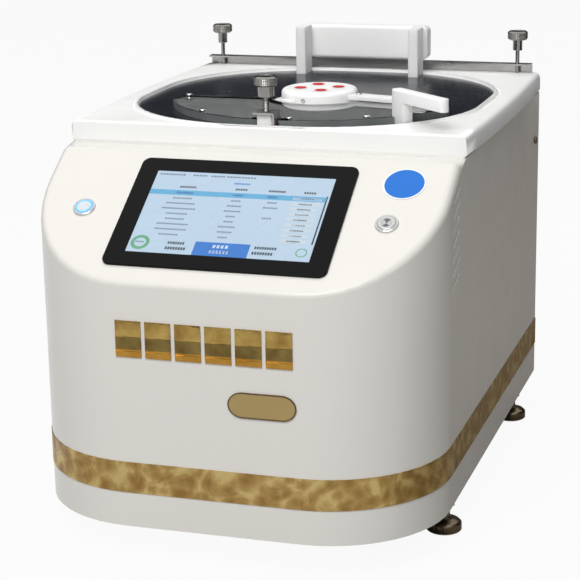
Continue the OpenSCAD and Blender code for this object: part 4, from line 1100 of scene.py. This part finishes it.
class COATER_OT_thumbscrews(bpy.types.Operator):
    """Adds the three knurled thumbscrews with their collars and pins."""

    bl_idname = "coater.thumbscrews"
    bl_label = "Thumbscrews"

    def execute(self, context):
        for node, collar, length in (
                ("rear_left_thumbscrew", 4.7 * MM, 10.4 * MM),
                ("rear_right_thumbscrew", 4.7 * MM, 10.4 * MM),
                ("latch_thumbscrew", 7.0 * MM, 9.0 * MM)):
            low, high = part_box(node)
            piece = self.screw(context.scene.coater_sizes, (high.x - low.x) / 2, collar,
                               length, high.z - low.z)
            piece.location = ((low.x + high.x) / 2, (low.y + high.y) / 2, high.z)
            settle(piece)
            piece.name = node + "_knurled"
            tidy(piece)
            deliver(piece, node, "Knob Steel", angle=22, stands_for=True)
        return {"FINISHED"}

    def screw(self, sizes, head, collar, collar_length, total):
        """A thumbscrew whose head's top lies at the origin."""
        core = head - sizes.knurl_depth - 0.06 * MM
        knob = cylinder(core, HEAD_CHAMFER - HEAD_HEIGHT, -HEAD_CHAMFER, sides=sizes.knurl_teeth)
        pick_edges(knob, lambda a, b: abs(a.z - b.z) > 1 * MM)
        bpy.ops.mesh.subdivide(number_cuts=sizes.knurl_rows - 1)
        close_edit()
        pick_faces(knob, lambda c, n: abs(n.z) < 0.5)
        bpy.ops.mesh.poke(offset=sizes.knurl_depth, use_relative_offset=False)
        close_edit()
        for sign in (1, -1):
            pick_faces(knob, lambda c, n: n.z * sign > 0.95)
            push(sign * HEAD_CHAMFER)
            end = 0 if sign > 0 else -HEAD_HEIGHT
            bpy.ops.transform.resize(value=(0.88, 0.88, 1), center_override=(0, 0, end))
            bpy.ops.mesh.inset(thickness=1.6 * MM)
            if sign > 0:
                push(-0.35 * MM)
                bpy.ops.transform.resize(value=(0.96, 0.96, 1), center_override=(0, 0, end))
            close_edit()
        end = -HEAD_HEIGHT - collar_length
        neck = cylinder(collar, end, OVERLAP - HEAD_HEIGHT)
        bevel(neck, 0.5 * MM, segments=2)
        pin = cylinder(PIN_R, -total, end + OVERLAP, sides=32)
        bevel(pin, 0.35 * MM, segments=2)
        return join([knob, neck, pin], "thumbscrew")


class COATER_OT_spin_unit(bpy.types.Operator):
    """Finishes the bowl, chuck, spindle, motor and vacuum line."""

    bl_idname = "coater.spin_unit"
    bl_label = "Bowl and spindle"

    def execute(self, context):
        dress("splash_bowl", "Bowl Plastic", angle=25)
        for node, material in (
                ("vacuum_chuck", "Chuck Grey"), ("chuck_seal", "Seal Rubber"),
                ("motor_plate", "Zinc Sheet"), ("frame_posts", "Zinc Sheet"),
                ("spindle_bearings", "Zinc Sheet"), ("spindle_shaft", "Polished Steel"),
                ("motor_housing", "Motor Grey"), ("motor_rotor", "Windings"),
                ("rotary_union", "Turned Steel"), ("vacuum_hose", "Blue Hose")):
            dress(node, material)
        return {"FINISHED"}


class COATER_OT_services(bpy.types.Operator):
    """Finishes the electrics, the fan and the ports at the rear."""

    bl_idname = "coater.services"
    bl_label = "Rear services"

    def execute(self, context):
        dress("power_supply", "Zinc Sheet")
        dress("drive_board", "Board Green")
        for node in ("power_inlet", "power_switch", "switch_rocker", "fan_frame", "fan_rotor"):
            dress(node, "Black Plastic")
        for node in ("exhaust_port", "drain_port"):
            dress(node, "White Plastic", angle=25)
        dress("vacuum_port", "Turned Steel", angle=25)
        return {"FINISHED"}


class COATER_OT_stage(bpy.types.Operator):
    """Sets the floor, the soft lamps, the world and the camera."""

    bl_idname = "coater.stage"
    bl_label = "Studio"

    def execute(self, context):
        light = context.scene.coater_light
        self.floor()
        self.world(context, light.ambient)
        self.cloths()
        self.lamp("key_lamp", KEY_PLACE, 2.0, light.key)
        self.lamp("top_lamp", TOP_PLACE, 1.8, light.top)
        camera = bpy.data.cameras.new("camera")
        camera.lens, camera.sensor_width = CAMERA_LENS, 36.0
        camera.clip_end = FLOOR_SIZE
        camera.dof.use_dof = False
        holder = bpy.data.objects.new("camera", camera)
        holder.location = CAMERA_PLACE
        holder.rotation_euler = [math.radians(v) for v in CAMERA_TURN]
        bpy.context.scene.collection.objects.link(holder)
        context.scene.camera = holder
        context.scene.view_settings.view_transform = "Standard"
        return {"FINISHED"}

    def seen_rays(self, tree):
        """One where a camera, mirror or glass looks, nought where light is gathered."""
        path = add(tree, "LightPath")
        total = path.outputs["Is Camera Ray"]
        for label in ("Is Glossy Ray", "Is Transmission Ray"):
            larger = add(tree, "Math", operation="MAXIMUM")
            wire(tree, (total, larger.inputs[0]), (path.outputs[label], larger.inputs[1]))
            total = larger.outputs[0]
        return total

    def floor(self):
        """A matt floor that gathers shadow and looks white."""
        only(None)
        bpy.ops.mesh.primitive_plane_add(size=FLOOR_SIZE, location=ORIGIN)
        floor = bpy.context.object
        floor.name = "floor"
        bpy.ops.object.mode_set(mode="EDIT")
        bpy.ops.mesh.subdivide(number_cuts=6)
        bpy.ops.object.mode_set(mode="OBJECT")
        material = bpy.data.materials.new("Floor")
        material.use_nodes = True
        tree = material.node_tree
        tree.nodes.clear()
        output = add(tree, "OutputMaterial")
        matt = add(tree, "BsdfPrincipled", {
            "Base Color": (0.5, 0.5, 0.5, 1), "Roughness": 0.9, "Specular IOR Level": 0.0})
        bright, blend = add(tree, "Emission"), add(tree, "MixShader")
        share = add(tree, "Math", {1: FLOOR_SHINE}, operation="MULTIPLY")
        wire(tree, (self.seen_rays(tree), share.inputs[0]), (share.outputs[0], blend.inputs[0]),
             (matt.outputs[0], blend.inputs[1]), (bright.outputs[0], blend.inputs[2]),
             (blend.outputs[0], output.inputs["Surface"]))
        floor.data.materials.append(material)

    def hang(self, name, material, hidden_from):
        """Makes the mesh just added a studio cloth, which these rays pass through."""
        cloth = bpy.context.object
        cloth.name = name
        settle(cloth)
        cloth.data.materials.append(finish(material))
        for rays in hidden_from:
            setattr(cloth, "visible_" + rays, False)

    def cloths(self):
        """A drape all round and a mat at the right, which only polished surfaces show,
        and a flag which keeps light off the right side."""
        unseen = ("camera", "transmission", "volume_scatter")
        only(None)
        bpy.ops.mesh.primitive_cylinder_add(
            vertices=72, radius=3.3, depth=2.2, end_fill_type="NOTHING", location=(0, 0, 1.2))
        self.hang("studio_drape", "Studio Cloth", unseen + ("diffuse", "shadow"))
        only(None)
        bpy.ops.mesh.primitive_grid_add(
            x_subdivisions=12, y_subdivisions=12, size=2.0, location=(1.5, 0.5, 1.0),
            rotation=(0, math.pi / 2, 0))
        self.hang("studio_flag", "Studio Cloth", unseen)
        only(None)
        bpy.ops.mesh.primitive_grid_add(
            x_subdivisions=8, y_subdivisions=24, size=1, location=(0.5, 0.95, 0.001))
        bpy.context.object.scale = (1.0, 2.4, 1)
        self.hang("studio_mat", "Studio Mat", unseen + ("diffuse", "shadow"))

    def world(self, context, ambient):
        """Soft light from all round, and white where it is seen."""
        world = context.scene.world or bpy.data.worlds.new("Studio")
        context.scene.world = world
        world.use_nodes = True
        tree = world.node_tree
        tree.nodes.clear()
        output = add(tree, "OutputWorld")
        ground = add(tree, "Background", {"Color": (1, 1, 1, 1)})
        level = add(tree, "MapRange", {"To Min": ambient, "To Max": 1.0})
        wire(tree, (self.seen_rays(tree), level.inputs["Value"]),
             (level.outputs[0], ground.inputs["Strength"]),
             (ground.outputs[0], output.inputs["Surface"]))

    def lamp(self, name, place, size, power):
        """A soft lamp aimed at the coater; only the key lamp shows in polished surfaces."""
        data = bpy.data.lights.new(name, "AREA")
        data.energy, data.size = power, size
        lamp = bpy.data.objects.new(name, data)
        lamp.location = place
        aim = Vector(LAMP_AIM) - Vector(place)
        lamp.rotation_euler = aim.to_track_quat("-Z", "Y").to_euler()
        lamp.visible_glossy = name == "key_lamp"
        bpy.context.scene.collection.objects.link(lamp)


OPERATORS = (
    COATER_OT_stage, COATER_OT_cabinet, COATER_OT_trim, COATER_OT_screen, COATER_OT_buttons,
    COATER_OT_deck, COATER_OT_lid, COATER_OT_turret, COATER_OT_grips, COATER_OT_thumbscrews,
    COATER_OT_spin_unit, COATER_OT_services,
)
SETTINGS = (
    ("coater_colours", CoaterColours), ("coater_sizes", CoaterSizes), ("coater_light", CoaterLight),
)


class COATER_PT_panel(bpy.types.Panel):
    """Lists the coater's pieces and settings."""

    bl_label = "Spin Coater"
    bl_idname = "COATER_PT_panel"
    bl_space_type = "VIEW_3D"
    bl_region_type = "UI"
    bl_category = "Spin Coater"

    def draw(self, context):
        for operator in OPERATORS:
            self.layout.operator(operator.bl_idname)
        for name, kind in SETTINGS:
            group = getattr(context.scene, name)
            box = self.layout.box()
            for key in kind.__annotations__:
                box.prop(group, key)


CLASSES = (CoaterColours, CoaterSizes, CoaterLight) + OPERATORS + (COATER_PT_panel,)


def register():
    for kind in CLASSES:
        bpy.utils.register_class(kind)
    for name, kind in SETTINGS:
        setattr(bpy.types.Scene, name, bpy.props.PointerProperty(type=kind))


def unregister():
    for name, _ in SETTINGS:
        delattr(bpy.types.Scene, name)
    for kind in reversed(CLASSES):
        bpy.utils.unregister_class(kind)


def main():
    register()
    for operator in OPERATORS:
        group, name = operator.bl_idname.split(".")
        getattr(getattr(bpy.ops, group), name)()


if __name__ == "__main__":
    main()
